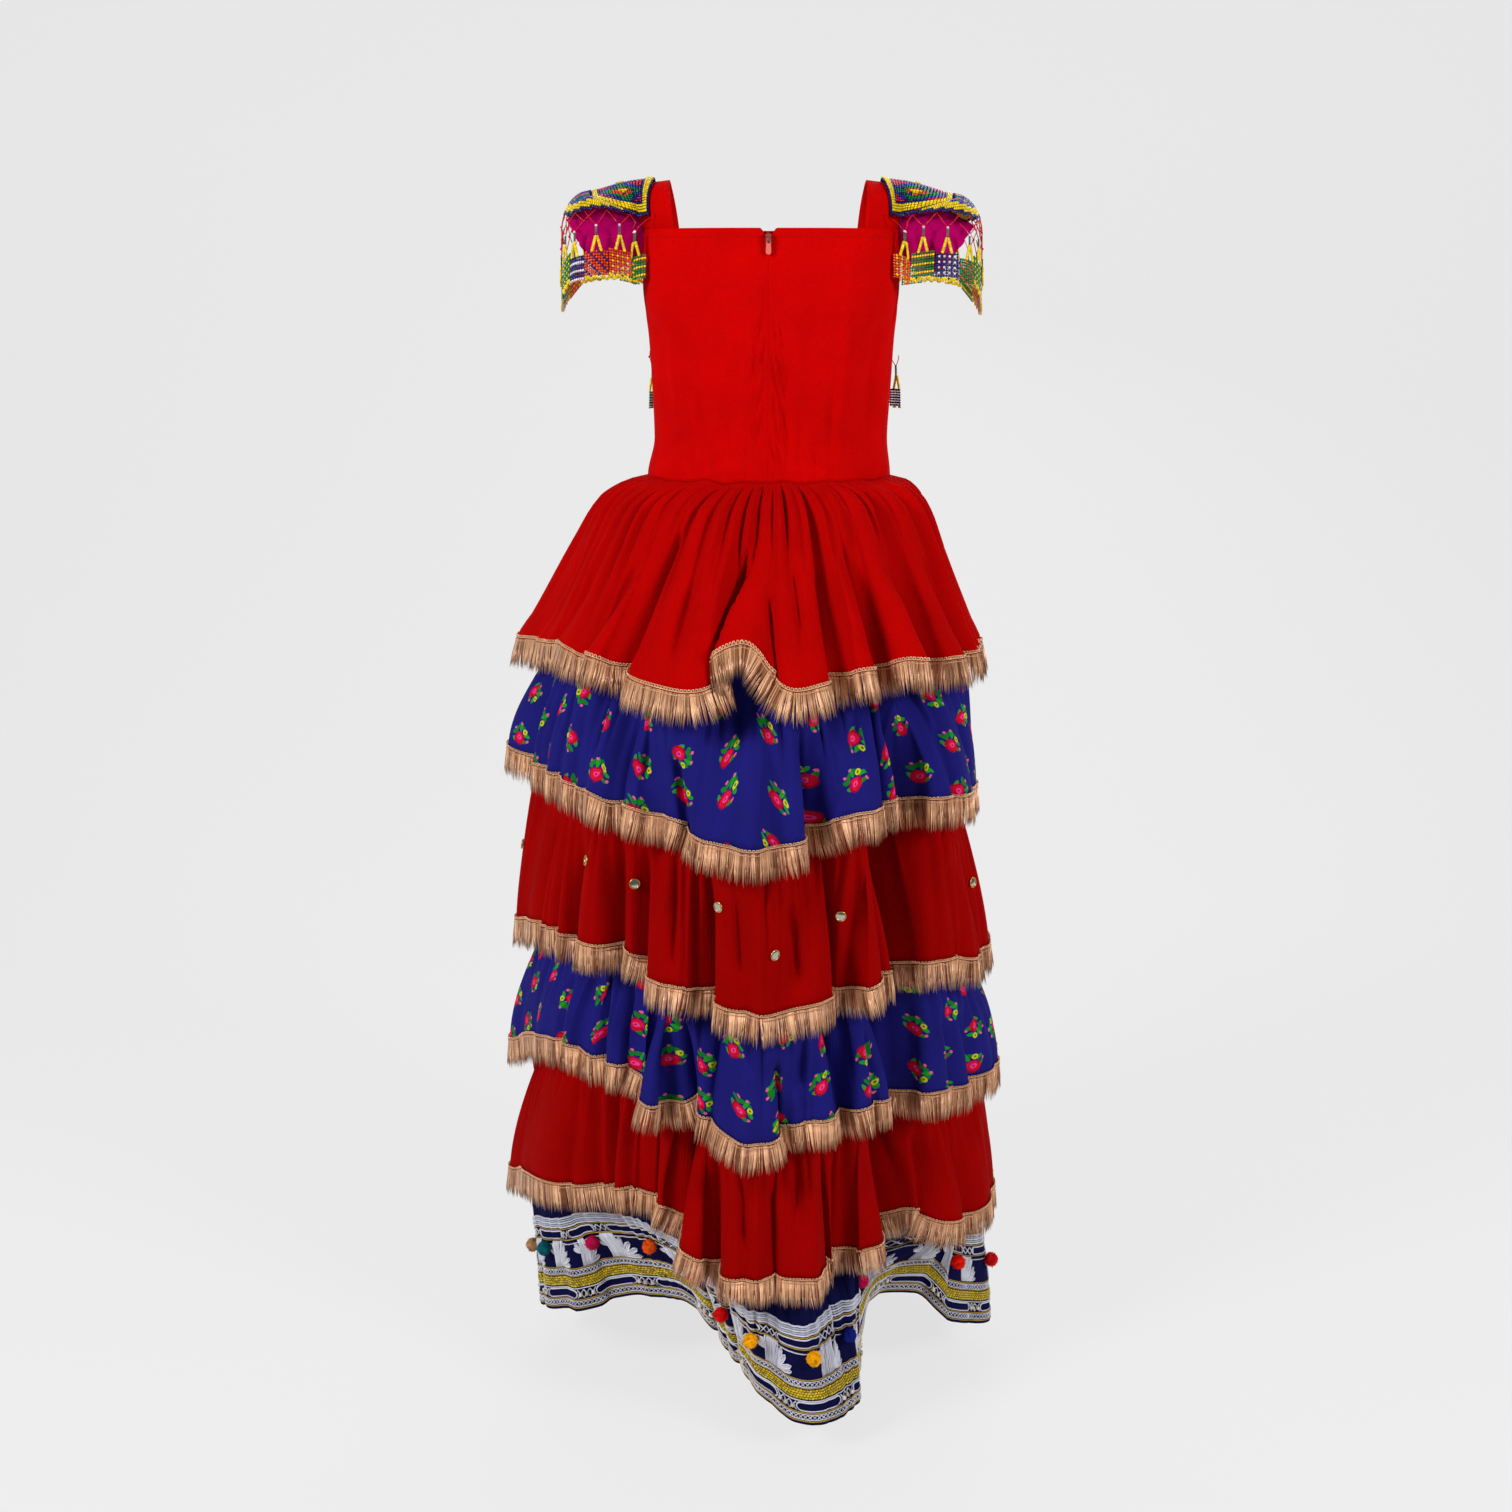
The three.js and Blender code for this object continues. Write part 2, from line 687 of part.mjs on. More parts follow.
// Beaded fringes: a strip along the panel's edge with strings that end in square tabs
const tabSize = 18;
const tabHangs = [
  { end: 'back', at: 0, over: 14, fall: 16, drop: 66 },
  { end: 'back', at: 1, over: 15, fall: 20, drop: 78 },
  { end: 'back', at: 2, over: 16, fall: 22, drop: 92 },
  { at: 0.4, over: 34, fall: 21, drop: 112 },
  { at: 0.6, over: 34, fall: 21, drop: 112 },
  { end: 'front', at: 2, over: 16, fall: 22, drop: 92 },
  { end: 'front', at: 1, over: 19, fall: 20, drop: 78 },
  { end: 'front', at: 0, over: 19, fall: 16, drop: 66 },
];

// A string that runs out over the sleeve cap, then hangs down to its tab
function tabStrand(root, outward, { over, fall, drop }) {
  const along = new THREE.Vector3(0, 0, 1).cross(outward).normalize();
  const string = 1.3;
  const rows = [
    { out: 0, down: 0, half: string },
    { out: over, down: fall, half: string },
    { out: over + 1, down: drop - tabSize - 3, half: string },
    { out: over + 1.5, down: drop - tabSize, half: tabSize / 2 },
    { out: over + 2, down: drop, half: tabSize / 2 },
  ];
  return strand(rows.map(({ out, down, half }) => ({
    centre: root.clone().addScaledVector(outward, 1.2 + out).setZ(root.z - down),
    wide: along.clone().multiplyScalar(half),
    thick: outward.clone(),
  })));
}

// A narrow strip that follows a line of points, moved out from it
function edgeStrip(line, outward, height, thickness) {
  const stations = line.map((point, i) => ({
    centre: point.clone().addScaledVector(outward[i], thickness / 2),
    wide: new THREE.Vector3(0, 0, -height / 2),
    thick: outward[i].clone().multiplyScalar(thickness / 2),
  }));
  return strand(stations);
}

dress.updateMatrixWorld(true);

// Skirt: the columns of every tier match, so that nested tiers and their fringes fit
const sampleAngles = [];
for (let i = 0; i <= backSteps; i += 1) sampleAngles.push(-sideAngle + backStep * i);
for (let i = 1; i < frontSteps; i += 1) {
  sampleAngles.push(sideAngle + ((360 - 2 * sideAngle) * i) / frontSteps);
}

// The folds of the front, which even out the table of the back
function foldRows({ folds, front: reach, wave }) {
  const rows = folds.slice();
  const last = folds[folds.length - 1];
  const first = folds[0];
  const waves = 12;
  for (let i = 1; i < waves; i += 1) {
    const share = i / waves;
    const side = mix(last.out, first.out, share);
    const swing = (i % 2 ? -1 : 1) * wave * (0.7 + 0.3 * Math.cos(5 * i));
    rows.push({
      at: sideAngle + (360 - 2 * sideAngle) * share,
      out: mix(side, reach, Math.sin(Math.PI * share)) + swing,
      lift: mix(last.lift, first.lift, share ** 3),
    });
  }
  rows.push({ at: 360 - sideAngle, out: first.out, lift: first.lift });
  return rows;
}

function hemRing(tier) {
  const rows = foldRows(tier);
  return sampleAngles.map((at) => {
    const out = between(rows, 'at', at, 'out', true);
    const angle = THREE.MathUtils.degToRad(at);
    return {
      point: new THREE.Vector3(
        tier.centre.x + out * Math.sin(angle),
        tier.centre.y - out * Math.cos(angle),
        tier.hem,
      ),
      lift: between(rows, 'at', at, 'lift', true),
      at,
    };
  });
}

function halfway(ring) {
  return ring.flatMap((item, i) => {
    const next = ring[(i + 1) % ring.length];
    const at = (item.at + next.at + (next.at < item.at ? 360 : 0)) / 2;
    return [item, { point: item.point.clone().lerp(next.point, 0.5), lift: (item.lift + next.lift) / 2, at }];
  });
}

function firstTier(tier) {
  const ring = halfway(hemRing(tier));
  return puffRows.map(({ down, flare, gather }) => ring.map(({ point, lift, at }, i) => {
    const waist = bodicePoint(at, waistHeight, 1);
    const pleat = Math.sin(THREE.MathUtils.degToRad(gatherCount * at))
      * (1 + 0.4 * Math.sin(THREE.MathUtils.degToRad(7 * at)));
    const spread = waist.clone().lerp(point, flare);
    const radial = new THREE.Vector3(spread.x, spread.y, 0).normalize();
    spread.addScaledVector(radial, gather * pleat);
    spread.z = waistHeight - down + lift * (down / puffRows[puffRows.length - 1].down) ** 2;
    return spread;
  }));
}

function lowerTier(tier, above) {
  const ring = hemRing(tier);
  const seamed = movedOut(above, -cloth - seamGap, true);
  const recessed = movedOut(above, -cloth - recessUnderHem, true);
  const rows = above.length - 1;
  const seam = seamed[rows - 1];
  const throat = recessed[rows].map((point, i) => (
    new THREE.Vector3(point.x, point.y, above[rows][i].z - fringeLength - 5)
  ));
  const lower = (share, up) => ring.map(({ point, lift }, i) => (
    throat[i].clone().lerp(point, share).setZ(tier.hem + lift + up)
  ));
  return [
    seam,
    throat,
    lower(0.88, seamAboveHem),
    lower(1, 0),
  ];
}

// The point of a column at a height above its hem
function pointAbove(grid, column, up) {
  const heights = grid.map((points) => points[column].z);
  const wanted = heights[heights.length - 1] + up;
  let row = heights.length - 2;
  while (row > 0 && heights[row] < wanted) row -= 1;
  const share = (wanted - heights[row + 1]) / (heights[row] - heights[row + 1]);
  return grid[row + 1][column].clone().lerp(grid[row][column], share);
}

function rowsAbove(grid, heights) {
  return heights.map((up) => grid[0].map((_, column) => pointAbove(grid, column, up)));
}

// The hem's columns, with one more beside each lock's root, where the gap between locks is
function withGaps(grid) {
  const gap = 0.12;
  return grid.map((points) => points.flatMap((point, i) => (
    i % 2 ? [point] : [point, point.clone().lerp(points[i + 1], gap)]
  )));
}

function fringeGeometry(grid) {
  const strip = withGaps(rowsAbove(grid, [fringeHeader, 0]));
  const inner = movedOut(strip, seamGap, true);
  const outer = movedOut(strip, seamGap + 2, true);
  const crown = movedOut(strip, seamGap + 0.8, true)[0];
  const tip = movedOut(strip, seamGap + 1, true)[1].map((point) => {
    const low = point.clone();
    low.z -= fringeLength;
    return low;
  });
  return clothWall([crown, outer[1], tip], [crown, inner[1], tip], true, (row, column) => (
    row === 0 || column % 3 !== 0
  ));
}

const tierGrids = [];
tiers.forEach((tier, number) => {
  const evenColumns = (grid) => grid.map((points) => points.filter((_, i) => i % 2 === 0));
  const grid = number ? lowerTier(tier, tierGrids[number - 1]) : firstTier(tier);
  tierGrids.push(number ? grid : evenColumns(grid));
  if (tier.name === 'hem_tier') {
    const band = rowsAbove(grid, bandRows.map(({ up }) => up));
    const [aboveBand] = rowsAbove(grid, [bandRows[0].up + bandClear]);
    const throat = grid[1].map((point, i) => (point.z > aboveBand[i].z ? point : aboveBand[i]));
    const outer = [grid[0], throat, ...band, grid[grid.length - 1]];
    const inner = movedOut(outer, -cloth, true);
    const raised = movedOut(outer, 1, true);
    bandRows.forEach(({ raised: height, alternate }, row) => {
      outer[row + 2] = outer[row + 2].map((point, column) => (
        alternate && column % 2 ? point : point.clone().lerp(raised[row + 2][column], height)
      ));
    });
    add(tier.name, clothWall(outer, inner, true), fabric(tier.colour));
    return;
  }
  add(tier.name, clothWall(grid, movedOut(grid, -cloth, true), true), fabric(tier.colour));
  add(`fringe_${number + 1}`, fringeGeometry(tierGrids[number]), metal(colours.gold));
});

// Pompoms on a narrow strip round the hem tier
function pompomTrim(grid) {
  const strip = rowsAbove(grid, [pompomRow + 1.5, pompomRow - 1.5]);
  const inner = movedOut(strip, seamGap + 0.2, true);
  const outer = movedOut(strip, seamGap + 3, true);
  const middle = outer[0].map((point, i) => point.clone().lerp(outer[1][i], 0.5));
  const ring = clothWall([inner[0], middle, inner[1]], [inner[0], inner[1]], true);
  const centres = movedOut(rowsAbove(grid, [pompomRow, pompomRow - 2]), pompomRadius + 0.4, true)[1];
  const balls = pompomSamples.map((sample) => {
    const ball = new THREE.OctahedronGeometry(pompomRadius, 1);
    return ball.translate(...centres[sample]);
  });
  return fused([ring, ...balls]);
}
add('pompom_trim', pompomTrim(tierGrids[5]), fabric(colours.wool));

// Round mirrors, each flat on a facet of the third tier
function addMirrors(grid) {
  mirrorSpots.forEach(({ column, down }, i) => {
    const next = (column + 1) % sampleAngles.length;
    const [a, b, c, d] = [grid[1][column], grid[1][next], grid[2][next], grid[2][column]];
    const upper = down < 0.5;
    const across = upper ? (1 + down) / 2 : down / 2;
    const place = a.clone()
      .addScaledVector((upper ? b.clone().sub(a) : c.clone().sub(d)), across)
      .addScaledVector((upper ? c.clone().sub(b) : d.clone().sub(a)), down);
    const normal = new THREE.Triangle(a, upper ? c : d, upper ? b : c).getNormal(new THREE.Vector3());
    const disc = new THREE.CylinderGeometry(mirrorRadius, mirrorRadius, mirrorThickness, 8);
    const mesh = add(`mirror_${String(i + 1).padStart(2, '0')}`, disc, metal(colours.mirror));
    mesh.position.copy(place).addScaledVector(normal, seamGap + mirrorThickness / 2);
    mesh.quaternion.setFromUnitVectors(new THREE.Vector3(0, 1, 0), normal);
  });
}
addMirrors(tierGrids[2]);

// The beaded panel on the chest and its fringe
const chest = { top: -118, middle: -142, bottom: -166, strip: -168.1, clear: 1.8, thickness: 2.4 };
const chestHangs = [
  { at: 110, over: 15, fall: 26, drop: 70 },
  { at: 130, over: 4, fall: 20, drop: 72 },
  { at: 150, over: 4, fall: 20, drop: 76 },
  { at: 170, over: 4, fall: 20, drop: 80 },
  { at: 190, over: 4, fall: 20, drop: 80 },
  { at: 210, over: 4, fall: 20, drop: 76 },
  { at: 230, over: 4, fall: 20, drop: 72 },
  { at: 250, over: 4, fall: 20, drop: 70 },
];
const chestAngles = [];
for (let at = 110; at <= 250; at += 10) chestAngles.push(at);

function chestPieces() {
  const rows = [chest.top, chest.middle, chest.bottom];
  const under = rows.map((z) => chestAngles.map((at) => bodicePoint(at, z, chest.clear)));
  const over = rows.map((z) => chestAngles.map((at) => bodicePoint(at, z, chest.clear + chest.thickness)));
  add('chest_panel', clothWall(over, under, false), fabric(colours.beads));
  const line = chestAngles.map((at) => bodicePoint(at, chest.strip, chest.clear + 1));
  const outward = line.map((point) => point.clone().setZ(0).normalize());
  const tabs = chestHangs.map((hang) => {
    const i = chestAngles.indexOf(hang.at);
    return tabStrand(line[i], outward[i], hang);
  });
  add('chest_fringe', fused([edgeStrip(line, outward, 3.6, 1.6), ...tabs]), fabric(colours.net));
}
chestPieces();

// Beaded fringes of the shoulders
shoulders.forEach(({ side, sign }, number) => {
  const { over, under } = pads[number];
  const last = over[0].length - 1;
  const path = [
    ...[0, 1, 2].map((row) => ({ row, column: 0 })),
    ...over[0].slice(1, -1).map((_, i) => ({ row: 2, column: i + 1 })),
    ...[2, 1, 0].map((row) => ({ row, column: last })),
  ];
  const line = path.map(({ row, column }) => over[row][column].clone().lerp(under[row][column], 0.5));
  const centre = new THREE.Vector3(sign * 135, 2, 0);
  const outward = line.map((_, i) => {
    const before = line[Math.max(i - 1, 0)];
    const after = line[Math.min(i + 1, line.length - 1)];
    const normal = after.clone().sub(before).cross(new THREE.Vector3(0, 0, 1)).setZ(0).normalize();
    return normal.dot(line[i].clone().sub(centre).setZ(0)) > 0 ? normal : normal.negate();
  });
  const clear = line.map((point, i) => point.clone().addScaledVector(outward[i], 2));
  const pieces = [edgeStrip(clear, outward, 3.6, 1.6)];
  for (const hang of tabHangs) {
    const i = hang.end ? hang.at : Math.round(hang.at * (line.length - 1));
    const j = hang.end === 'front' ? line.length - 1 - i : i;
    pieces.push(tabStrand(clear[j], outward[j], hang));
  }
  add(`bead_fringe_${side}`, fused(pieces), fabric(colours.net));
});

export default dress;
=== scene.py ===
import json
import math
import bmesh
import bpy
import mathutils
import numpy as np
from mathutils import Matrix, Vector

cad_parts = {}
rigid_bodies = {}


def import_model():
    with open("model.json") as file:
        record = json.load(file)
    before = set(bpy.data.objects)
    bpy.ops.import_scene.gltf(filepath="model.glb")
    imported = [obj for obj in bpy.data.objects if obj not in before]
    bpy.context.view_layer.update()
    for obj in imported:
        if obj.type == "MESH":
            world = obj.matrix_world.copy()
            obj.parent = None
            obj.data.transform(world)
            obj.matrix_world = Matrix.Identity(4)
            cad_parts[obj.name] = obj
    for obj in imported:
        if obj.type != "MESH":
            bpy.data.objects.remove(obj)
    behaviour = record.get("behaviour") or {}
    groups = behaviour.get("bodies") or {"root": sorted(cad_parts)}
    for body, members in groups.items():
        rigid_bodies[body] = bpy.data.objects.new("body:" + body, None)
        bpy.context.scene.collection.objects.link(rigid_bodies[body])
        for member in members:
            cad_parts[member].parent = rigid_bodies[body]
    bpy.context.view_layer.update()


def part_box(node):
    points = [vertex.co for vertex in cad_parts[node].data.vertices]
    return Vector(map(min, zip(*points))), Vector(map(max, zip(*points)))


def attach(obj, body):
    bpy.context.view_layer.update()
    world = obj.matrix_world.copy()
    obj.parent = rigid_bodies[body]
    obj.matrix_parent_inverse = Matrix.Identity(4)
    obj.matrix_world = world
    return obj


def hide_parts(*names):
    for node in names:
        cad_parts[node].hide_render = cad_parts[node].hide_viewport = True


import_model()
linked = bpy.context.scene.collection.objects

# Sizes are in millimetres and angles in degrees until a mesh is made. A dress angle starts
# at the centre back, which faces the camera, and turns anticlockwise seen from above.


def colour(hexCode):
    # sRGB hex to linear
    parts = [int(hexCode[i:i + 2], 16) / 255 for i in (1, 3, 5)]
    return [p / 12.92 if p <= 0.04045 else ((p + 0.055) / 1.055) ** 2.4 for p in parts] + [1.0]


def addNode(tree, kind, inputs=None, **settings):
    made = tree.nodes.new(kind)
    for name, value in settings.items():
        setattr(made, name, value)
    for key, value in (inputs or {}).items():
        socket = made.inputs[key]
        if isinstance(value, bpy.types.NodeSocket):
            tree.links.new(value, socket)
        else:
            socket.default_value = value
    return made


def mix(start, end, share):
    return start + (end - start) * share


def smoothThrough(places, values, at):
    # a curve through the rows that never swings past them
    places = np.asarray(places, float)
    values = np.asarray(values, float)
    step = np.diff(places)
    rise = np.diff(values) / step
    slope = np.zeros(len(values))
    same = rise[:-1] * rise[1:] > 0
    low = np.where(same, rise[:-1], 1)
    high = np.where(same, rise[1:], 1)
    slope[1:-1] = np.where(same, 2 * low * high / (low + high), 0)
    i = np.clip(np.searchsorted(places, at) - 1, 0, len(step) - 1)
    t = np.clip((at - places[i]) / step[i], 0, 1)
    return (
        values[i] * (1 + 2 * t) * (1 - t) ** 2
        + values[i + 1] * (3 - 2 * t) * t ** 2
        + step[i] * t * (1 - t) * (slope[i] * (1 - t) - slope[i + 1] * t)
    )


def roundTable(rows, key, at):
    # the same for a table of (angle, ...) rows that closes on itself
    rows = np.array(rows, float)
    places = np.concatenate([rows[:, 0] - 360, rows[:, 0], rows[:, 0] + 360])
    return smoothThrough(places, np.tile(rows[:, key], 3), at)


def softened(values, width):
    # a running mean round a closed row, with soft ends
    reach = int(3 * width)
    weight = np.exp(-0.5 * (np.arange(-reach, reach + 1) / width) ** 2)
    weight /= weight.sum()
    return sum(w * np.roll(values, k, axis=0) for k, w in zip(range(-reach, reach + 1), weight))


def waves(at, seed, low, high):
    # uneven waves of about unit height round 360 degrees
    draw = np.random.default_rng(seed)
    total = np.zeros(np.shape(at))
    for count in range(low, high + 1):
        total += draw.normal() * np.sin(np.radians(count * at) + draw.uniform(0, 2 * np.pi))
    return total / math.sqrt((high - low + 1) / 2)


# Cloth surfaces are grids of points, grid[row, column], rows downwards and columns anticlockwise


def normalsOf(grid, closed):
    if closed:
        across = np.roll(grid, -1, axis=1) - np.roll(grid, 1, axis=1)
    else:
        across = np.gradient(grid, axis=1)
    down = np.gradient(grid, axis=0)
    normal = np.cross(down, across)
    return normal / np.maximum(np.linalg.norm(normal, axis=2, keepdims=True), 1e-9)


def lengthsAcross(grid, closed):
    # distance along a row from its first column, with the closing stretch as one more
    ends = np.concatenate([grid, grid[:, :1]], axis=1) if closed else grid
    steps = np.linalg.norm(np.diff(ends, axis=1), axis=2)
    return np.concatenate([np.zeros((len(grid), 1)), np.cumsum(steps, axis=1)], axis=1)


def lengthsDown(grid):
    steps = np.linalg.norm(np.diff(grid, axis=0), axis=2)
    return np.concatenate([np.zeros((1, grid.shape[1])), np.cumsum(steps, axis=0)], axis=0)


# A part of a mesh is a dictionary: points, corners of its faces, corners in each face, and a
# tone and a paint for each point. Parts are joined before they become an object.


def makePart(points, corners, sizes, tone=0.5, paint=(1, 1, 1, 1)):
    count = len(points)
    return dict(
        points=np.asarray(points, float), corners=np.asarray(corners, int), sizes=np.asarray(sizes, int),
        tone=np.zeros(count) + tone, paint=np.zeros((count, 4)) + np.asarray(paint, float))


def joinedPart(parts):
    starts = np.cumsum([0] + [len(part["points"]) for part in parts[:-1]])
    return dict(
        points=np.concatenate([part["points"] for part in parts]),
        corners=np.concatenate([part["corners"] + start for part, start in zip(parts, starts)]),
        sizes=np.concatenate([part["sizes"] for part in parts]),
        tone=np.concatenate([part["tone"] for part in parts]),
        paint=np.concatenate([part["paint"] for part in parts]))


def meshOf(name, part, scale=0.001):
    mesh = bpy.data.meshes.new(name)
    mesh.vertices.add(len(part["points"]))
    mesh.vertices.foreach_set("co", (part["points"] * scale).astype(np.float32).ravel())
    mesh.loops.add(len(part["corners"]))
    mesh.loops.foreach_set("vertex_index", part["corners"].astype(np.int32))
    mesh.polygons.add(len(part["sizes"]))
    starts = np.concatenate([[0], np.cumsum(part["sizes"])[:-1]])
    mesh.polygons.foreach_set("loop_start", starts.astype(np.int32))
    mesh.polygons.foreach_set("use_smooth", np.ones(len(starts), bool))
    mesh.attributes.new("tone", "FLOAT", "POINT").data.foreach_set("value", part["tone"].astype(np.float32))
    mesh.attributes.new("paint", "FLOAT_COLOR", "POINT").data.foreach_set(
        "color", part["paint"].astype(np.float32).ravel())
    mesh.update(calc_edges=True)
    return mesh


def pieceOf(name, part, material, replaced):
    piece = bpy.data.objects.new(name, meshOf(name, part))
    piece.data.materials.append(material)
    linked.link(piece)
    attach(piece, "dress")
    if replaced:
        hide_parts(replaced)
    return piece


def loft(rings, capped=True):
    # rings[k, side] from the start of a bar to its end, closed across its ends
    rings = np.asarray(rings, float)
    count, sides = rings.shape[:2]
    k = np.arange(count - 1)[:, None]
    c = np.arange(sides)[None, :]
    n = (c + 1) % sides
    faces = np.stack([k * sides + c, k * sides + n, (k + 1) * sides + n, (k + 1) * sides + c],
        -1).reshape(-1, 4)
    corners = faces.ravel()
    sizes = np.full(len(faces), 4)
    if capped:
        start = np.arange(sides)[::-1]
        end = (count - 1) * sides + np.arange(sides)
        corners = np.concatenate([corners, start, end])
        sizes = np.concatenate([sizes, [sides, sides]])
    return makePart(rings.reshape(-1, 3), corners, sizes)


def flatCord(x, y, out, radius, sides=4):
    # a round cord through flat places, x and y in the cloth and out above it
    line = np.stack([x, y, np.zeros(len(x)) + out], -1)
    ahead = np.gradient(line, axis=0)
    ahead /= np.maximum(np.linalg.norm(ahead, axis=1, keepdims=True), 1e-9)
    side = np.cross(np.tile([0, 0, 1.0], (len(line), 1)), ahead)
    turn = 2 * np.pi * (np.arange(sides) + 0.5) / sides
    radius = np.zeros(len(line)) + radius
    rings = line[:, None] + radius[:, None, None] * (
        side[:, None] * np.cos(turn)[None, :, None] + np.array([0, 0, 1.0]) * np.sin(turn)[None, :, None])
    return loft(rings)


# A surface to set small things on: points at even heights y, and the length x along its columns


def surfaceOf(grid, closed, low, step, along):
    return dict(points=grid, normals=-normalsOf(grid, closed), closed=closed, low=low, step=step,
        along=along)


def onSurface(surface, flat):
    x, y, out = np.asarray(flat, float).T
    rows, columns = surface["points"].shape[:2]
    along = surface["along"]
    place = np.interp(np.mod(x, along[-1]) if surface["closed"] else x, along, np.arange(len(along)))
    row = np.clip((y - surface["low"]) / surface["step"], 0, rows - 1.001)
    c = np.minimum(np.floor(place).astype(int), columns - (0 if surface["closed"] else 1))
    r = np.floor(row).astype(int)
    across = (place - c)[:, None]
    up = (row - r)[:, None]
    n = (c + 1) % columns if surface["closed"] else np.minimum(c + 1, columns - 1)
    c = c % columns

    def at(values):
        lower = mix(values[r, c], values[r, n], across)
        return mix(lower, mix(values[r + 1, c], values[r + 1, n], across), up)
    return at(surface["points"]) + at(surface["normals"]) * out[:, None]


def onto(surface, part):
    return dict(part, points=onSurface(surface, part["points"]))


def apronOf(grid, top, below=0, closed=True):
    # the cloth by height above its lower edge, carried on below it square to the edge
    step = 2.0
    heights = np.arange(0, top + step, step)
    upward = grid[::-1]
    rise = upward[..., 2] - upward[:1, :, 2]
    points = np.stack([
        np.stack([np.interp(heights, rise[:, c], upward[:, c, k]) for k in range(3)], -1)
        for c in range(grid.shape[1])], 1)
    if below:
        hem = points[0]
        outward = softened(-normalsOf(points, True)[1], 4)
        along = np.roll(hem, -1, axis=0) - np.roll(hem, 1, axis=0)
        down = np.cross(along, outward)
        down /= np.maximum(np.linalg.norm(down, axis=1, keepdims=True), 1e-9)
        down *= -np.sign(down[:, 2:])
        down = softened(0.75 * down + [0, 0, -0.25], 3) + 0.05 * outward
        down /= np.linalg.norm(down, axis=1, keepdims=True)
        depths = np.arange(below, 0, -step)
        points = np.concatenate([hem[None] + down[None] * depths[:, None, None], points])
    along = lengthsAcross(grid[-1:], closed)[0]
    return surfaceOf(points, closed, -float(below), step, along)


# Geometry Nodes put copies of a small shape on places that are still flat


def makeCopyTree():
    tree = bpy.data.node_groups.new("copiesOnPlaces", "GeometryNodeTree")
    for name, kind in (("Geometry", "Geometry"), ("Shape", "Object"), ("Material", "Material"),
                       ("Shortest", "Float"), ("Longest", "Float"), ("Tilt", "Float"), ("Seed", "Int")):
        tree.interface.new_socket(name, in_out="INPUT", socket_type="NodeSocket" + kind)
    tree.interface.new_socket("Geometry", in_out="OUTPUT", socket_type="NodeSocketGeometry")
    given = tree.nodes.new("NodeGroupInput").outputs
    shape = addNode(tree, "GeometryNodeObjectInfo", {"Object": given["Shape"]})
    lean = addNode(tree, "ShaderNodeMath", {0: given["Tilt"], 1: -1.0}, operation="MULTIPLY")
    tilt = addNode(tree, "FunctionNodeRandomValue", {
        2: lean.outputs[0], 3: given["Tilt"], 8: given["Seed"]})
    euler = addNode(tree, "ShaderNodeCombineXYZ", {"Z": tilt.outputs[1]})
    rotation = addNode(tree, "FunctionNodeEulerToRotation", {"Euler": euler.outputs[0]})
    other = addNode(tree, "ShaderNodeMath", {0: given["Seed"], 1: 17.0}, operation="ADD")
    length = addNode(tree, "FunctionNodeRandomValue", {
        2: given["Shortest"], 3: given["Longest"], 8: other.outputs[0]})
    size = addNode(tree, "ShaderNodeCombineXYZ", {"X": 1.0, "Y": length.outputs[1], "Z": 1.0})
    copies = addNode(tree, "GeometryNodeInstanceOnPoints", {
        "Points": given["Geometry"], "Instance": shape.outputs["Geometry"],
        "Rotation": rotation.outputs[0], "Scale": size.outputs[0]})
    draw = addNode(tree, "FunctionNodeRandomValue", {2: 0.0, 3: 1.0, 8: given["Seed"]})
    toned = addNode(tree, "GeometryNodeStoreNamedAttribute", {
        "Geometry": copies.outputs[0], "Name": "tone", "Value": draw.outputs[1]},
        data_type="FLOAT", domain="INSTANCE")
    real = addNode(tree, "GeometryNodeRealizeInstances", {"Geometry": toned.outputs[0]})
    done = addNode(tree, "GeometryNodeSetMaterial", {
        "Geometry": real.outputs[0], "Material": given["Material"]})
    addNode(tree, "NodeGroupOutput", {"Geometry": done.outputs[0]})
    return tree


copyTree = makeCopyTree()


def copiesOf(shape, places, seed, paints=(1, 1, 1, 1), sizes=(1.0, 1.0), tilt=0.0):
    source = bpy.data.objects.new("shape", meshOf("shape", shape, 1))
    source.data.attributes.remove(source.data.attributes["paint"])
    source.data.attributes.remove(source.data.attributes["tone"])
    mesh = bpy.data.meshes.new("places")
    places = np.asarray(places, float)
    mesh.vertices.add(len(places))
    mesh.vertices.foreach_set("co", places.astype(np.float32).ravel())
    paint = (np.zeros((len(places), 4)) + np.asarray(paints, float)).astype(np.float32)
    mesh.attributes.new("paint", "FLOAT_COLOR", "POINT").data.foreach_set("color", paint.ravel())
    holder = bpy.data.objects.new("copies", mesh)
    linked.link(source)
    linked.link(holder)
    modifier = holder.modifiers.new("copies", "NODES")
    modifier.node_group = copyTree
    values = {"Shape": source, "Shortest": sizes[0], "Longest": sizes[1], "Tilt": tilt, "Seed": seed}
    for item in copyTree.interface.items_tree:
        if item.in_out == "INPUT" and item.name in values:
            modifier[item.identifier] = values[item.name]
    bpy.context.view_layer.update()
    made = bpy.data.meshes.new_from_object(holder.evaluated_get(bpy.context.evaluated_depsgraph_get()))
    part = partFrom(made)
    for spent in (holder, source):
        bpy.data.objects.remove(spent)
    for spent in (mesh, made):
        bpy.data.meshes.remove(spent)
    return part


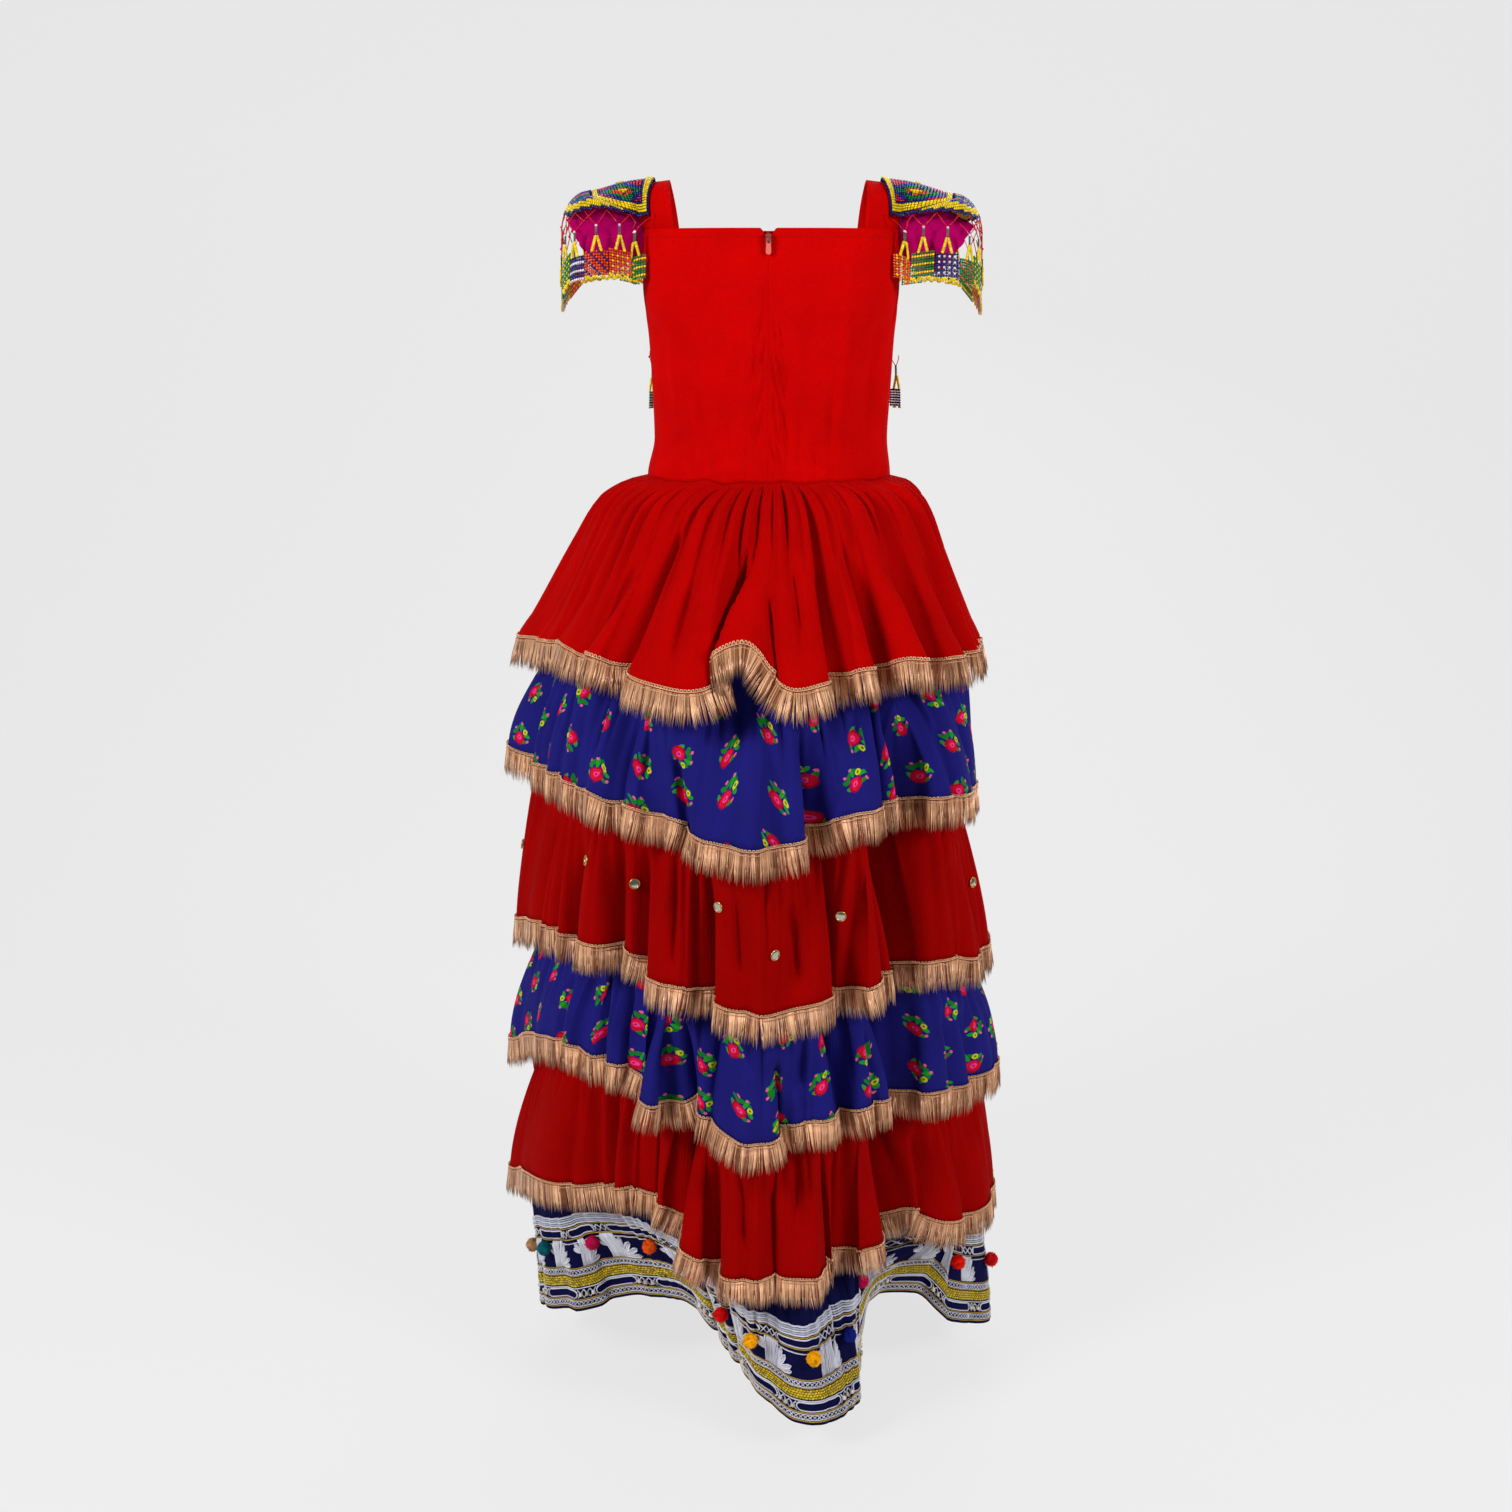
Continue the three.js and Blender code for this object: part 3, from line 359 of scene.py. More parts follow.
def partFrom(mesh):
    points = np.empty(len(mesh.vertices) * 3, np.float32)
    mesh.vertices.foreach_get("co", points)
    corners = np.empty(len(mesh.loops), np.int32)
    mesh.loops.foreach_get("vertex_index", corners)
    sizes = np.empty(len(mesh.polygons), np.int32)
    mesh.polygons.foreach_get("loop_total", sizes)
    tone = np.empty(len(mesh.vertices), np.float32)
    mesh.attributes["tone"].data.foreach_get("value", tone)
    paint = np.empty(len(mesh.vertices) * 4, np.float32)
    mesh.attributes["paint"].data.foreach_get("color", paint)
    return makePart(points.reshape(-1, 3), corners, sizes, tone, paint.reshape(-1, 4))


def row(start, end, step, y=0.0, out=0.0):
    count = max(int(round((end - start) / step)), 1)
    x = start + (np.arange(count) + 0.5) * (end - start) / count
    return np.stack([x, np.zeros(count) + y, np.zeros(count) + out], -1)


def clothPiece(name, grid, closed, material, thickness):
    # a thin shell whose UV map is the flat cloth in metres, measured along the last row
    rows, columns = grid.shape[:2]
    edge = softened(grid[-1], 6)[None] if closed else grid[-1:]
    across = lengthsAcross(edge, closed)[0] * 0.001
    down = lengthsDown(grid) * 0.001
    r = np.arange(rows - 1)[:, None]
    c = np.arange(columns if closed else columns - 1)[None, :]
    n = (c + 1) % columns
    corners = [(r, c, c), (r + 1, c, c), (r + 1, n, c + 1), (r, n, c + 1)]
    faces = np.stack([low * columns + side for low, side, _ in corners], axis=-1).reshape(-1, 4)
    uv = np.stack([
        np.stack([across[place] + 0 * r, -down[low, side]], -1) for low, side, place in corners], axis=2)
    mesh = bpy.data.meshes.new(f"{name}_cloth")
    mesh.from_pydata((grid.reshape(-1, 3) * 0.001).tolist(), [], faces.tolist())
    mesh.materials.append(material)
    mesh.uv_layers.new(name="cloth").data.foreach_set("uv", np.asarray(uv, np.float32).ravel())
    mesh.polygons.foreach_set("use_smooth", np.ones(len(faces), bool))
    mesh.update()
    piece = bpy.data.objects.new(f"{name}_cloth", mesh)
    linked.link(piece)
    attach(piece, "dress")
    wall = piece.modifiers.new("wall", "SOLIDIFY")
    wall.thickness = thickness * 0.001
    wall.offset = -1
    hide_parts(name)
    return piece


# Materials


def newMaterial(name):
    material = bpy.data.materials.new(name)
    material.use_nodes = True
    return material, material.node_tree, material.node_tree.nodes["Principled BSDF"]


def roughen(tree, shader, height, strength, distance):
    relief = addNode(tree, "ShaderNodeBump", {"Height": height, "Strength": strength, "Distance": distance})
    tree.links.new(relief.outputs[0], shader.inputs["Normal"])


def clothWeave(tree, shader, place, base, thread, mottle):
    # crossing threads in the flat cloth's own place, with a little uneven dye
    uneven = addNode(tree, "ShaderNodeTexNoise", {"Vector": place, "Scale": 18.0, "Detail": 3.0})
    shade = addNode(tree, "ShaderNodeMapRange", {
        "Value": uneven.outputs["Fac"], "From Min": 0.3, "From Max": 0.7,
        "To Min": 1 - mottle, "To Max": 1 + mottle})
    dyed = addNode(tree, "ShaderNodeVectorMath", {0: base, 1: shade.outputs[0]}, operation="MULTIPLY")
    tree.links.new(dyed.outputs[0], shader.inputs["Base Color"])
    # a wave node of scale s has 20 s / 2 pi bands a metre
    scale = 2 * math.pi / (20 * thread)
    ribs = [
        addNode(tree, "ShaderNodeTexWave", {
            "Vector": place, "Scale": scale, "Distortion": 3.0, "Detail Scale": 2.0}, bands_direction=way)
        for way in ("X", "Y")
    ]
    weave = addNode(tree, "ShaderNodeMath", {0: ribs[0].outputs["Fac"], 1: ribs[1].outputs["Fac"]},
                    operation="ADD")
    slub = addNode(tree, "ShaderNodeTexNoise", {"Vector": place, "Scale": 260.0, "Detail": 2.0})
    both = addNode(tree, "ShaderNodeMath", {0: weave.outputs[0], 1: slub.outputs["Fac"]}, operation="ADD")
    roughen(tree, shader, both.outputs[0], 0.5, 0.0004)


def crepe(name, hexCode, thread=0.0012):
    # a matte crepe: the rough twisted threads leave almost no highlight
    material, tree, shader = newMaterial(name)
    place = addNode(tree, "ShaderNodeUVMap", uv_map="cloth").outputs[0]
    base = addNode(tree, "ShaderNodeCombineXYZ", dict(zip("XYZ", colour(hexCode)))).outputs[0]
    clothWeave(tree, shader, place, base, thread, 0.07)
    shader.inputs["Roughness"].default_value = 0.88
    shader.inputs["Specular IOR Level"].default_value = 0.03
    return material


# The printed motif in millimetres from its middle: what it is, x, y, half length, half width, turn, colour
motif = [
    ("leaf", -7, 9, 5.0, 2.4, 50, "#157A1C"), ("leaf", -2, 11, 5.2, 2.4, 95, "#1E9624"),
    ("leaf", -11, 4, 4.6, 2.2, 10, "#157A1C"), ("leaf", 4, 10, 4.8, 2.2, 130, "#157A1C"),
    ("leaf", 9, 5, 4.4, 2.2, 165, "#1E9624"), ("leaf", 8, -3, 4.6, 2.0, 20, "#157A1C"),
    ("leaf", -9, -4, 4.0, 1.9, 150, "#1E9624"),
    ("bud", 5.5, 8.5, 3.4, 3.2, 0, "#C8C81E"), ("eye", 5.5, 8.5, 1.3, 1.3, 0, "#5A6A14"),
    ("bud", -12, 9, 1.9, 1.5, 30, "#E85A8C"), ("bud", 12, -1, 1.8, 1.5, 70, "#E85A8C"),
    ("bud", -4, 14.5, 1.7, 1.4, 0, "#E85A8C"),
    ("rose", -1, -2, 8.2, 7.4, 20, "#A8001E"), ("petal", -3.4, -3.8, 4.6, 3.0, 120, "#D00A34"),
    ("petal", 2.4, -4.0, 4.4, 3.0, 50, "#C8082E"), ("petal", -0.8, 1.8, 5.2, 2.6, 5, "#D81040"),
    ("heart", -0.6, -1.4, 3.4, 2.6, 30, "#F04090"), ("heart", -0.8, -1.6, 1.5, 1.1, 80, "#C0104C"),
]
motifCell = dict(across=55.0, down=50.0, stray=13.0)


def printedCrepe(name, ground):
    # one small rose sprig to a cell, every other column set half a cell lower, each turned its own way
    material, tree, shader = newMaterial(name)
    place = addNode(tree, "ShaderNodeUVMap", uv_map="cloth").outputs[0]
    apart = addNode(tree, "ShaderNodeSeparateXYZ", {0: place})
    column = addNode(tree, "ShaderNodeMath", {0: apart.outputs[0], 1: motifCell["across"] / 1000},
                     operation="DIVIDE")
    whole = addNode(tree, "ShaderNodeMath", {0: column.outputs[0]}, operation="FLOOR")
    odd = addNode(tree, "ShaderNodeMath", {0: whole.outputs[0], 1: 0.5}, operation="MULTIPLY")
    down = addNode(tree, "ShaderNodeMath", {0: apart.outputs[1], 1: motifCell["down"] / 1000},
                   operation="DIVIDE")
    shifted = addNode(tree, "ShaderNodeMath", {0: down.outputs[0], 1: odd.outputs[0]}, operation="ADD")
    wholeDown = addNode(tree, "ShaderNodeMath", {0: shifted.outputs[0]}, operation="FLOOR")
    cell = addNode(tree, "ShaderNodeCombineXYZ", {"X": whole.outputs[0], "Y": wholeDown.outputs[0]})
    chance = addNode(tree, "ShaderNodeTexWhiteNoise", {"Vector": cell.outputs[0]}, noise_dimensions="2D")
    turn = addNode(tree, "ShaderNodeMath", {0: chance.outputs["Value"], 1: 2 * math.pi},
        operation="MULTIPLY")
    away = addNode(tree, "ShaderNodeVectorMath", {0: chance.outputs["Color"], 1: (-0.5, -0.5, 0)},
        operation="ADD")
    stray = addNode(tree, "ShaderNodeSeparateXYZ", {0: away.outputs[0]})
    parts = []
    for source, size in ((column, "across"), (shifted, "down")):
        share = addNode(tree, "ShaderNodeMath", {0: source.outputs[0]}, operation="FRACT")
        centred = addNode(tree, "ShaderNodeMath", {0: share.outputs[0], 1: 0.5}, operation="SUBTRACT")
        sized = addNode(tree, "ShaderNodeMath", {0: centred.outputs[0], 1: motifCell[size]},
                        operation="MULTIPLY").outputs[0]
        parts.append(addNode(tree, "ShaderNodeMath", {
            0: stray.outputs[len(parts)], 1: motifCell["stray"], 2: sized},
            operation="MULTIPLY_ADD").outputs[0])
    local = addNode(tree, "ShaderNodeCombineXYZ", {"X": parts[0], "Y": parts[1]})
    axis = {"Vector": local.outputs[0], "Angle": turn.outputs[0]}
    turned = addNode(tree, "ShaderNodeVectorRotate", axis, rotation_type="Z_AXIS").outputs[0]
    wobble = addNode(tree, "ShaderNodeTexNoise", {"Vector": place, "Scale": 420.0, "Detail": 1.0})
    shade = addNode(tree, "ShaderNodeCombineXYZ", dict(zip("XYZ", colour(ground)))).outputs[0]
    for _, x, y, half, narrow, angle, hexCode in motif:
        spot = addNode(tree, "ShaderNodeMapping", {
            "Vector": turned, "Location": (x, y, 0), "Rotation": (0, 0, math.radians(angle)),
            "Scale": (half, narrow, 1)}, vector_type="TEXTURE")
        far = addNode(tree, "ShaderNodeVectorMath", {0: spot.outputs[0]}, operation="LENGTH")
        ragged = addNode(tree, "ShaderNodeMath",
            {0: wobble.outputs["Fac"], 1: 0.5, 2: far.outputs["Value"]},
                         operation="MULTIPLY_ADD")
        inside = addNode(tree, "ShaderNodeMapRange", {
            "Value": ragged.outputs[0], "From Min": 1.18, "From Max": 1.32, "To Min": 1.0, "To Max": 0.0})
        dye = addNode(tree, "ShaderNodeCombineXYZ", dict(zip("XYZ", colour(hexCode)))).outputs[0]
        mixed = addNode(tree, "ShaderNodeMix", data_type="VECTOR")
        tree.links.new(inside.outputs[0], mixed.inputs["Factor"])
        tree.links.new(shade, mixed.inputs[4])
        tree.links.new(dye, mixed.inputs[5])
        shade = mixed.outputs[1]
    clothWeave(tree, shader, place, shade, 0.0012, 0.1)
    shader.inputs["Roughness"].default_value = 0.85
    shader.inputs["Specular IOR Level"].default_value = 0.08
    return material


def threadMaterial(name, dark, light, roughness, metallic, gloss):
    # loose threads: each takes its own tone between a shaded and a lit one
    material, tree, shader = newMaterial(name)
    tone = addNode(tree, "ShaderNodeAttribute", attribute_name="tone").outputs["Fac"]
    mixed = addNode(tree, "ShaderNodeMix", data_type="RGBA")
    tree.links.new(tone, mixed.inputs["Factor"])
    mixed.inputs[6].default_value = colour(dark)
    mixed.inputs[7].default_value = colour(light)
    tree.links.new(mixed.outputs[2], shader.inputs["Base Color"])
    place = addNode(tree, "ShaderNodeTexCoord").outputs["Object"]
    ply = addNode(tree, "ShaderNodeTexNoise", {"Vector": place, "Scale": 1800.0, "Detail": 1.0})
    roughen(tree, shader, ply.outputs["Fac"], 0.4, 0.0003)
    shader.inputs["Roughness"].default_value = roughness
    shader.inputs["Metallic"].default_value = metallic
    shader.inputs["Specular IOR Level"].default_value = gloss
    return material


def paintedMaterial(name, roughness, gloss, spread, coat=0.0, grain=900.0, bump=0.3):
    # small pieces that each carry their own colour, a little lighter or darker than the next
    material, tree, shader = newMaterial(name)
    paint = addNode(tree, "ShaderNodeAttribute", attribute_name="paint").outputs["Color"]
    tone = addNode(tree, "ShaderNodeAttribute", attribute_name="tone").outputs["Fac"]
    shade = addNode(tree, "ShaderNodeMapRange",
        {"Value": tone, "To Min": 1 - spread, "To Max": 1 + spread * 0.5})
    mixed = addNode(tree, "ShaderNodeVectorMath", {0: paint, 1: shade.outputs[0]}, operation="MULTIPLY")
    tree.links.new(mixed.outputs[0], shader.inputs["Base Color"])
    place = addNode(tree, "ShaderNodeTexCoord").outputs["Object"]
    noise = addNode(tree, "ShaderNodeTexNoise", {"Vector": place, "Scale": grain, "Detail": 2.0})
    roughen(tree, shader, noise.outputs["Fac"], bump, 0.0004)
    shader.inputs["Roughness"].default_value = roughness
    shader.inputs["Specular IOR Level"].default_value = gloss
    shader.inputs["Coat Weight"].default_value = coat
    return material


def metalMaterial(name, hexCode, roughness, metallic=1.0, coat=0.0):
    # struck metal or enamel, faintly brushed so that its highlight is not even
    material, tree, shader = newMaterial(name)
    place = addNode(tree, "ShaderNodeTexCoord").outputs["Object"]
    noise = addNode(tree, "ShaderNodeTexNoise", {"Vector": place, "Scale": 700.0, "Detail": 3.0})
    worn = addNode(tree, "ShaderNodeMapRange", {
        "Value": noise.outputs["Fac"], "To Min": roughness - 0.08, "To Max": roughness + 0.12})
    tree.links.new(worn.outputs[0], shader.inputs["Roughness"])
    shader.inputs["Base Color"].default_value = colour(hexCode)
    shader.inputs["Metallic"].default_value = metallic
    shader.inputs["Coat Weight"].default_value = coat
    return material


materials = dict(
    bodice=crepe("redCrepeWoven", "#C60000"),
    # the reds step darker down the dress: the first tier's is darker than the bodice's, and that of tiers 3
    # and 5 darker again
    tierRed=crepe("deepRedCrepeWoven", "#B00000"),
    tierDark=crepe("darkRedCrepeWoven", "#980000"),
    floral=printedCrepe("blueCrepePrinted", "#1B1970"),
    hem=crepe("navyCottonWoven", "#10103C"),
    sleeve=crepe("fuchsiaCrepeWoven", "#B0005E"),
    gold=threadMaterial("metallicThreadTwisted", "#824828", "#FFC698", 0.36, 0.2, 0.5),
    beads=paintedMaterial("glassSeedBeads", 0.3, 0.3, coat=0.1, spread=0.3),
    beadGround=crepe("beadBackingWoven", "#1C1C50"),
    stitched=paintedMaterial("cottonThreadChainStitched", 0.75, 0.2, spread=0.25, grain=1500.0, bump=0.8),
    sequins=paintedMaterial("yellowSequinFoil", 0.38, 0.5, spread=0.45, grain=500.0),
    wool=paintedMaterial("woolCutPile", 0.95, 0.05, spread=0.5, grain=600.0, bump=1.0),
    tape=crepe("zipTapeWoven", "#8E0000", thread=0.0006),
    slider=metalMaterial("sliderLacquerFired", "#8E3A36", 0.4, metallic=0.0, coat=0.2),
    enamel=metalMaterial("pullEnamelFired", "#DC6A60", 0.4, metallic=0.0, coat=0.2),
    mirror=metalMaterial("mirrorGlassSilvered", "#B4B4AC", 0.12),
    rim=metalMaterial("giltRimStamped", "#C89A48", 0.3),
)


# Bodice

# height, half widths left and right, depths back and front, squareness
bodiceSections = [
    (-307, 131, 134, 90, 92, 2.2),
    (-265, 123, 130, 86, 104, 2.2),
    (-223, 124, 132, 88, 117, 2.3),
    (-162, 127, 135, 91, 113, 2.6),
    (-101, 133, 140, 90, 100, 3.0),
    (-51, 131, 138, 84, 80, 3.2),
]
waist = -307
neckline = -51


def bodicePoint(at, z, out=0.0):
    angle = np.radians(at)
    table = np.array(bodiceSections, float)
    size = [smoothThrough(table[:, 0], table[:, k], z) for k in range(1, 6)]
    side = np.where(np.sin(angle) < 0, size[0], size[1])
    depth = np.where(np.cos(angle) > 0, size[2], size[3])
    power = size[4]
    spread = np.abs(np.sin(angle) / side) ** power + np.abs(np.cos(angle) / depth) ** power
    reach = spread ** (-1 / power) + out
    return np.stack([reach * np.sin(angle), -reach * np.cos(angle), z + 0 * angle], axis=-1)


bodice = dict(
    wall=1.6,
    rows=dict(bodice_back_right=52, bodice_back_left=52, bodice_front=30),
    # upper edges: angle from the centre back or front, height
    backEdge=[(0, -61), (6, -51), (75, -51), (77, -100), (80, -125), (84, -142), (90, -150)],
    frontEdge=[(0, -92), (16, -88), (30, -77), (42, -63), (54, -51), (75, -51), (77, -96), (80, -122),
               (84, -140), (90, -150)],
    stitchDown=8.5,
    # soft dents and ridges: angle, height, half width in degrees, half height, slant, distance out
    creases=[
        (-4, -128, 3, 6, 7, -1.2), (-7, -146, 2.6, 7, 6, 2.8), (4, -136, 2.4, 6, -8, -1.2),
        (6, -154, 2.4, 6, -7, 3.0),
        (-4, -176, 3, 6, 5, -1.2), (4, -182, 2.4, 6, -6, 2.6), (7, -206, 2.4, 6, -6, 3.0),
        (-7, -214, 3, 8, 6, 2.6),
        (6, -230, 2.4, 6, -6, 2.9), (8, -254, 2.4, 6, -6, 2.6), (-8, -246, 3, 7, 5, 2.4),
        (-6, -182, 2.4, 6, 6, 2.4),
        (5, -276, 2.4, 6, -6, 2.6), (-10, -190, 3, 9, 7, -1.8), (11, -190, 3, 9, -7, -1.8),
        (12, -250, 2.4, 9, -5, -1.8),
        (63, -205, 11, 85, 0, -3.4), (-64, -215, 10, 75, 0, -2.6), (45, -200, 3, 80, 0, 1.5),
        (26, -170, 5, 60, 0, -1.3),
        (-28, -262, 2.2, 32, 0, -1.6), (-17, -272, 2.4, 26, 0, 1.4), (22, -268, 2.2, 30, 0, -1.7),
        (41, -246, 2.6, 38, 0, -1.9), (52, -226, 2.8, 44, 0, 1.6), (-45, -248, 2.6, 36, 0, -1.5),
        (63, -206, 2.4, 46, 0, -2.2), (-60, -212, 2.6, 42, 0, 1.5), (14, -284, 2, 16, 0, -1.5),
        (-38, -288, 2, 14, 0, -1.5), (32, -286, 2, 14, 0, -1.4), (-50, -286, 2, 14, 0, -1.5),
        (34, -292, 16, 6, -0.5, -1.1), (-36, -290, 18, 6, 0.6, -1.1), (58, -278, 14, 7, -1.4, -1.3),
        (-62, -274, 14, 7, 1.4, -1.2), (66, -150, 12, 10, 1.6, -1.2), (-66, -156, 12, 10, -1.6, -1.2),
        (72, -210, 8, 26, 0.8, 0.9), (-72, -222, 8, 26, -0.8, 0.9), (48, -100, 20, 5, 0.4, -0.7),
        (-48, -104, 20, 5, -0.4, -0.7), (128, -282, 14, 7, 1.2, -1.2), (-130, -286, 14, 7, -1.2, -1.2),
        (112, -190, 10, 12, -1.4, -1.1), (-114, -196, 10, 12, 1.4, -1.1), (172, -290, 18, 6, 0.5, -1.0),
    ],
)


def waistLine(at):
    # the gathers pull the waist seam up and down a little
    return waist + 0.9 * waves(at, 12, 7, 23)


def bodiceSwell(at, z):
    # the creases, and a dip where the centre back seam draws in
    out = -0.4 * np.exp(-(((at + 180) % 360 - 180) / 1.1) ** 2) * (z < -66)
    for place, height, wide, tall, slant, depth in bodice["creases"]:
        x = (at - place + 180) % 360 - 180
        y = z - height - slant * x
        out = out + 1.5 * depth * np.exp(-(x / wide) ** 2 - (y / tall) ** 2)
    return out


def edgeColumns(rows):
    ats = np.concatenate([np.linspace(0, 6, 7), np.linspace(6, 75, 53)[1:], np.linspace(75, 90, 31)[1:]])
    table = np.array(rows, float)
    return ats, smoothThrough(table[:, 0], table[:, 1], ats)


def bodicePanel(ats, edge, rows):
    share = np.linspace(0, 1, rows)[:, None]
    z = mix(edge[None, :], waistLine(ats)[None, :], share)
    at = ats[None, :] + 0 * z
    return bodicePoint(at, z, bodiceSwell(at, z))


def stitchLine(ats, edge):
    # short stitches that follow an edge, each a little below the cloth's surface at its ends
    line = bodicePoint(ats, edge)
    along = np.concatenate([[0], np.cumsum(np.linalg.norm(np.diff(line, axis=0), axis=1))])
    stitch = flatCord(np.linspace(-1.1, 1.1, 4), np.zeros(4), np.array([-0.2, 0.35, 0.35, -0.2]), 0.3)
    flat = copiesOf(stitch, row(0, along[-1], 3.2), paints=colour("#A00000"), tilt=0.05, seed=3)
    x, y, out = flat["points"].T
    at = np.interp(x, along, ats)
    z = np.interp(x, along, edge) - bodice["stitchDown"] + y
    return dict(flat, points=bodicePoint(at, z, out + bodiceSwell(at, z)))


def makeBodice():
    ats, edge = edgeColumns(bodice["backEdge"])
    frontAts, frontEdge = edgeColumns(bodice["frontEdge"])
    wholeFront = np.concatenate([180 - frontAts[::-1], 180 + frontAts[1:]])
    wholeEdge = np.concatenate([frontEdge[::-1], frontEdge[1:]])
    panels = [
        ("bodice_back_right", ats, edge), ("bodice_back_left", -ats[::-1], edge[::-1]),
        ("bodice_front", wholeFront, wholeEdge),
    ]
    stitches = []
    for name, at, top in panels:
        piece = clothPiece(name, bodicePanel(at, top, bodice["rows"][name]), False, materials["bodice"],
            bodice["wall"])
        keep = (np.abs(at - 180) < 74) if name == "bodice_front" else (np.abs(at) < 74)
        stitches.append(stitchLine(at[keep], top[keep]))
    pieceOf("neckline_stitches", joinedPart(stitches), materials["stitched"], None)


# Shoulders

shoulder = dict(
    strapTop=dict(neck=(103, 0), arm=(146, -5)),
    strapEnds=dict(neck=54, arm=75),
    padClear=3.2,
    padWall=1.4,
    beadPitch=2.6,
    sides=[
        dict(side="left", sign=-1, sleeveOut=211, sleeveTop=-40, padOut=182, padTop=-15),
        dict(side="right", sign=1, sleeveOut=216, sleeveTop=-46, padOut=190, padTop=-18),
    ],
    # the bead curtain under a panel: place along the panel's edge, reach out, fall there, whole drop
    hang=[(0, 14, 16, 62), (1, 15, 20, 68), (2, 16, 22, 76), (4, 28, 36, 104), (6, 32, 44, 122),
          (8, 28, 36, 104), (10, 16, 22, 76), (11, 19, 20, 68), (12, 19, 16, 62)],
)
glass = dict(
    navy=colour("#14186A"), blue=colour("#1C30A8"), yellow=colour("#F2D200"), green=colour("#0A7A34"),
    orange=colour("#E84A08"), red=colour("#D8121C"), white=colour("#ECE2EC"), grey=colour("#56604A"),
)


def strapPath(sign, kind, turn):
    end = shoulder["strapEnds"][kind]
    top = shoulder["strapTop"][kind]
    # the feet are sewn in behind the bodice's upper edge
    back = bodicePoint(np.array(sign * end), np.array(neckline), -2.0)
    front = bodicePoint(np.array(sign * (180 - end)), np.array(neckline), -2.0)
    rise = np.sin(turn) ** 0.9
    return np.stack([
        mix(back[0], sign * top[0], rise),
        mix(back[1], front[1], (1 - np.cos(turn)) / 2),
        mix(neckline - 4.0, top[1], rise),
    ], axis=-1)


def ordered(grid, sign):
    return grid if sign > 0 else grid[:, ::-1]


def throughRows(rows, shares, count):
    # finer rows through a few given ones
    at = np.linspace(0, 1, count)
    flat = np.array(rows)
    return np.stack([
        np.stack([smoothThrough(shares, flat[:, c, k], at) for k in range(3)], axis=-1)
        for c in range(flat.shape[1])
    ], axis=1)


def beadShape(radius):
    # a low round bead of five sides
    turn = 2 * np.pi * np.arange(5) / 5
    ring = np.stack([np.cos(turn), np.sin(turn)], -1)
    rings = [np.concatenate([ring * r, np.full((5, 1), z)], 1) for r, z in ((1.0, 0), (0.7, 0.9))]
    return loft(np.array(rings) * radius)


def panelPaint(x, y, wide, tall, seed):
    # the woven pattern of a shoulder panel, x along its outer edge and y up from that edge
    edge = np.minimum(np.minimum(x, wide - x), np.minimum(y, tall - y))
    u = np.abs(((x - 12) / (wide - 24) * 3) % 1 * 2 - 1)
    v = np.abs((y - 12) / (tall - 24) * 2 - 1)
    paint = np.tile(glass["blue"], (len(x), 1))
    paint[u + v < 0.95] = glass["green"]
    paint[u + v < 0.5] = glass["orange"]
    paint[u + v < 0.22] = glass["yellow"]
    paint[u + v > 1.3] = glass["red"]
    speckle = np.random.default_rng(seed).random(len(x))
    paint[speckle < 0.07] = glass["navy"]
    paint[edge < 13.0] = glass["navy"]
    paint[edge < 11.0] = glass["yellow"]
    paint[edge < 2.6] = glass["navy"]
    return paint


def makePad(side, sign, padOut, padTop):
    turn = np.linspace(np.pi / 10, np.pi * 0.9, 49)
    neck = strapPath(sign, "neck", turn)
    arm = strapPath(sign, "arm", turn)
    inner = mix(neck, arm, (0.35 + 0.3 * np.cos(turn) ** 2)[:, None])
    outer = np.stack([
        sign * padOut + 0 * turn, -54 * np.cos(turn), padTop - 9 * np.cos(turn) ** 2], axis=-1)
    under = ordered(throughRows([inner, arm, outer], [0, 0.38, 1], 25), sign)
    pad = under + shoulder["padClear"] * normalsOf(under, False)
    backing = clothPiece(f"bead_panel_{side}", pad, False, materials["beadGround"], shoulder["padWall"])
    wide = lengthsAcross(pad, False)[:, -1].mean()
    tall = lengthsDown(pad)[-1].mean()
    along = np.linspace(0, wide, pad.shape[1])
    surface = surfaceOf(pad[::-1], False, 0.0, tall / (len(pad) - 1), along)
    pitch = shoulder["beadPitch"]
    places = np.concatenate([
        row(0.4, wide - 0.4, pitch, y=y, out=0.1) for y in row(0.4, tall - 0.4, pitch)[:, 0]])
    paint = panelPaint(places[:, 0], places[:, 1], wide, tall, 5)
    beads = copiesOf(beadShape(1.32), places, paints=paint, tilt=0.4, seed=8)
    yellow = paint[:, 0] > 0.7
    raised = places[yellow & (paint[:, 1] > 0.4)] + [0, 0, 1.0]
    border = copiesOf(beadShape(1.5), raised, paints=glass["yellow"], tilt=0.4, seed=9)
    rim = np.concatenate([row(0, wide, 2.4, y=-1.2, out=-0.6),
        row(0, tall, 2.4)[:, [1, 0, 2]] + [-1.2, 0, -0.6],
                          row(0, tall, 2.4)[:, [1, 0, 2]] + [wide + 1.2, 0, -0.6]])
    edging = copiesOf(beadShape(1.3), rim, paints=glass["white"], tilt=0.4, seed=10)
    work = joinedPart([onto(surface, part) for part in (beads, border, edging)])
    pieceOf(f"bead_panel_{side}_beads", work, materials["beads"], None)
    return pad


def curtainOf(line, outward, hang):
    # the sheet that a bead curtain lies in, from its top line out and then down
    stations = np.array(hang, float)
    share = np.linspace(0, stations[-1, 0], len(line))
    over, fall, drop = (smoothThrough(stations[:, 0], stations[:, k], share) for k in (1, 2, 3))
    down = np.linspace(0, 1, 40)[:, None] ** 1.2 * drop[None]
    curve = np.sqrt(np.clip(1 - (1 - np.minimum(down / fall, 1)) ** 2, 0, 1))
    reach = over * curve + 2 * np.clip((down - fall) / (drop - fall), 0, 1)
    return line[None] + outward[None] * reach[..., None] - np.array([0, 0, 1.0]) * down[..., None]


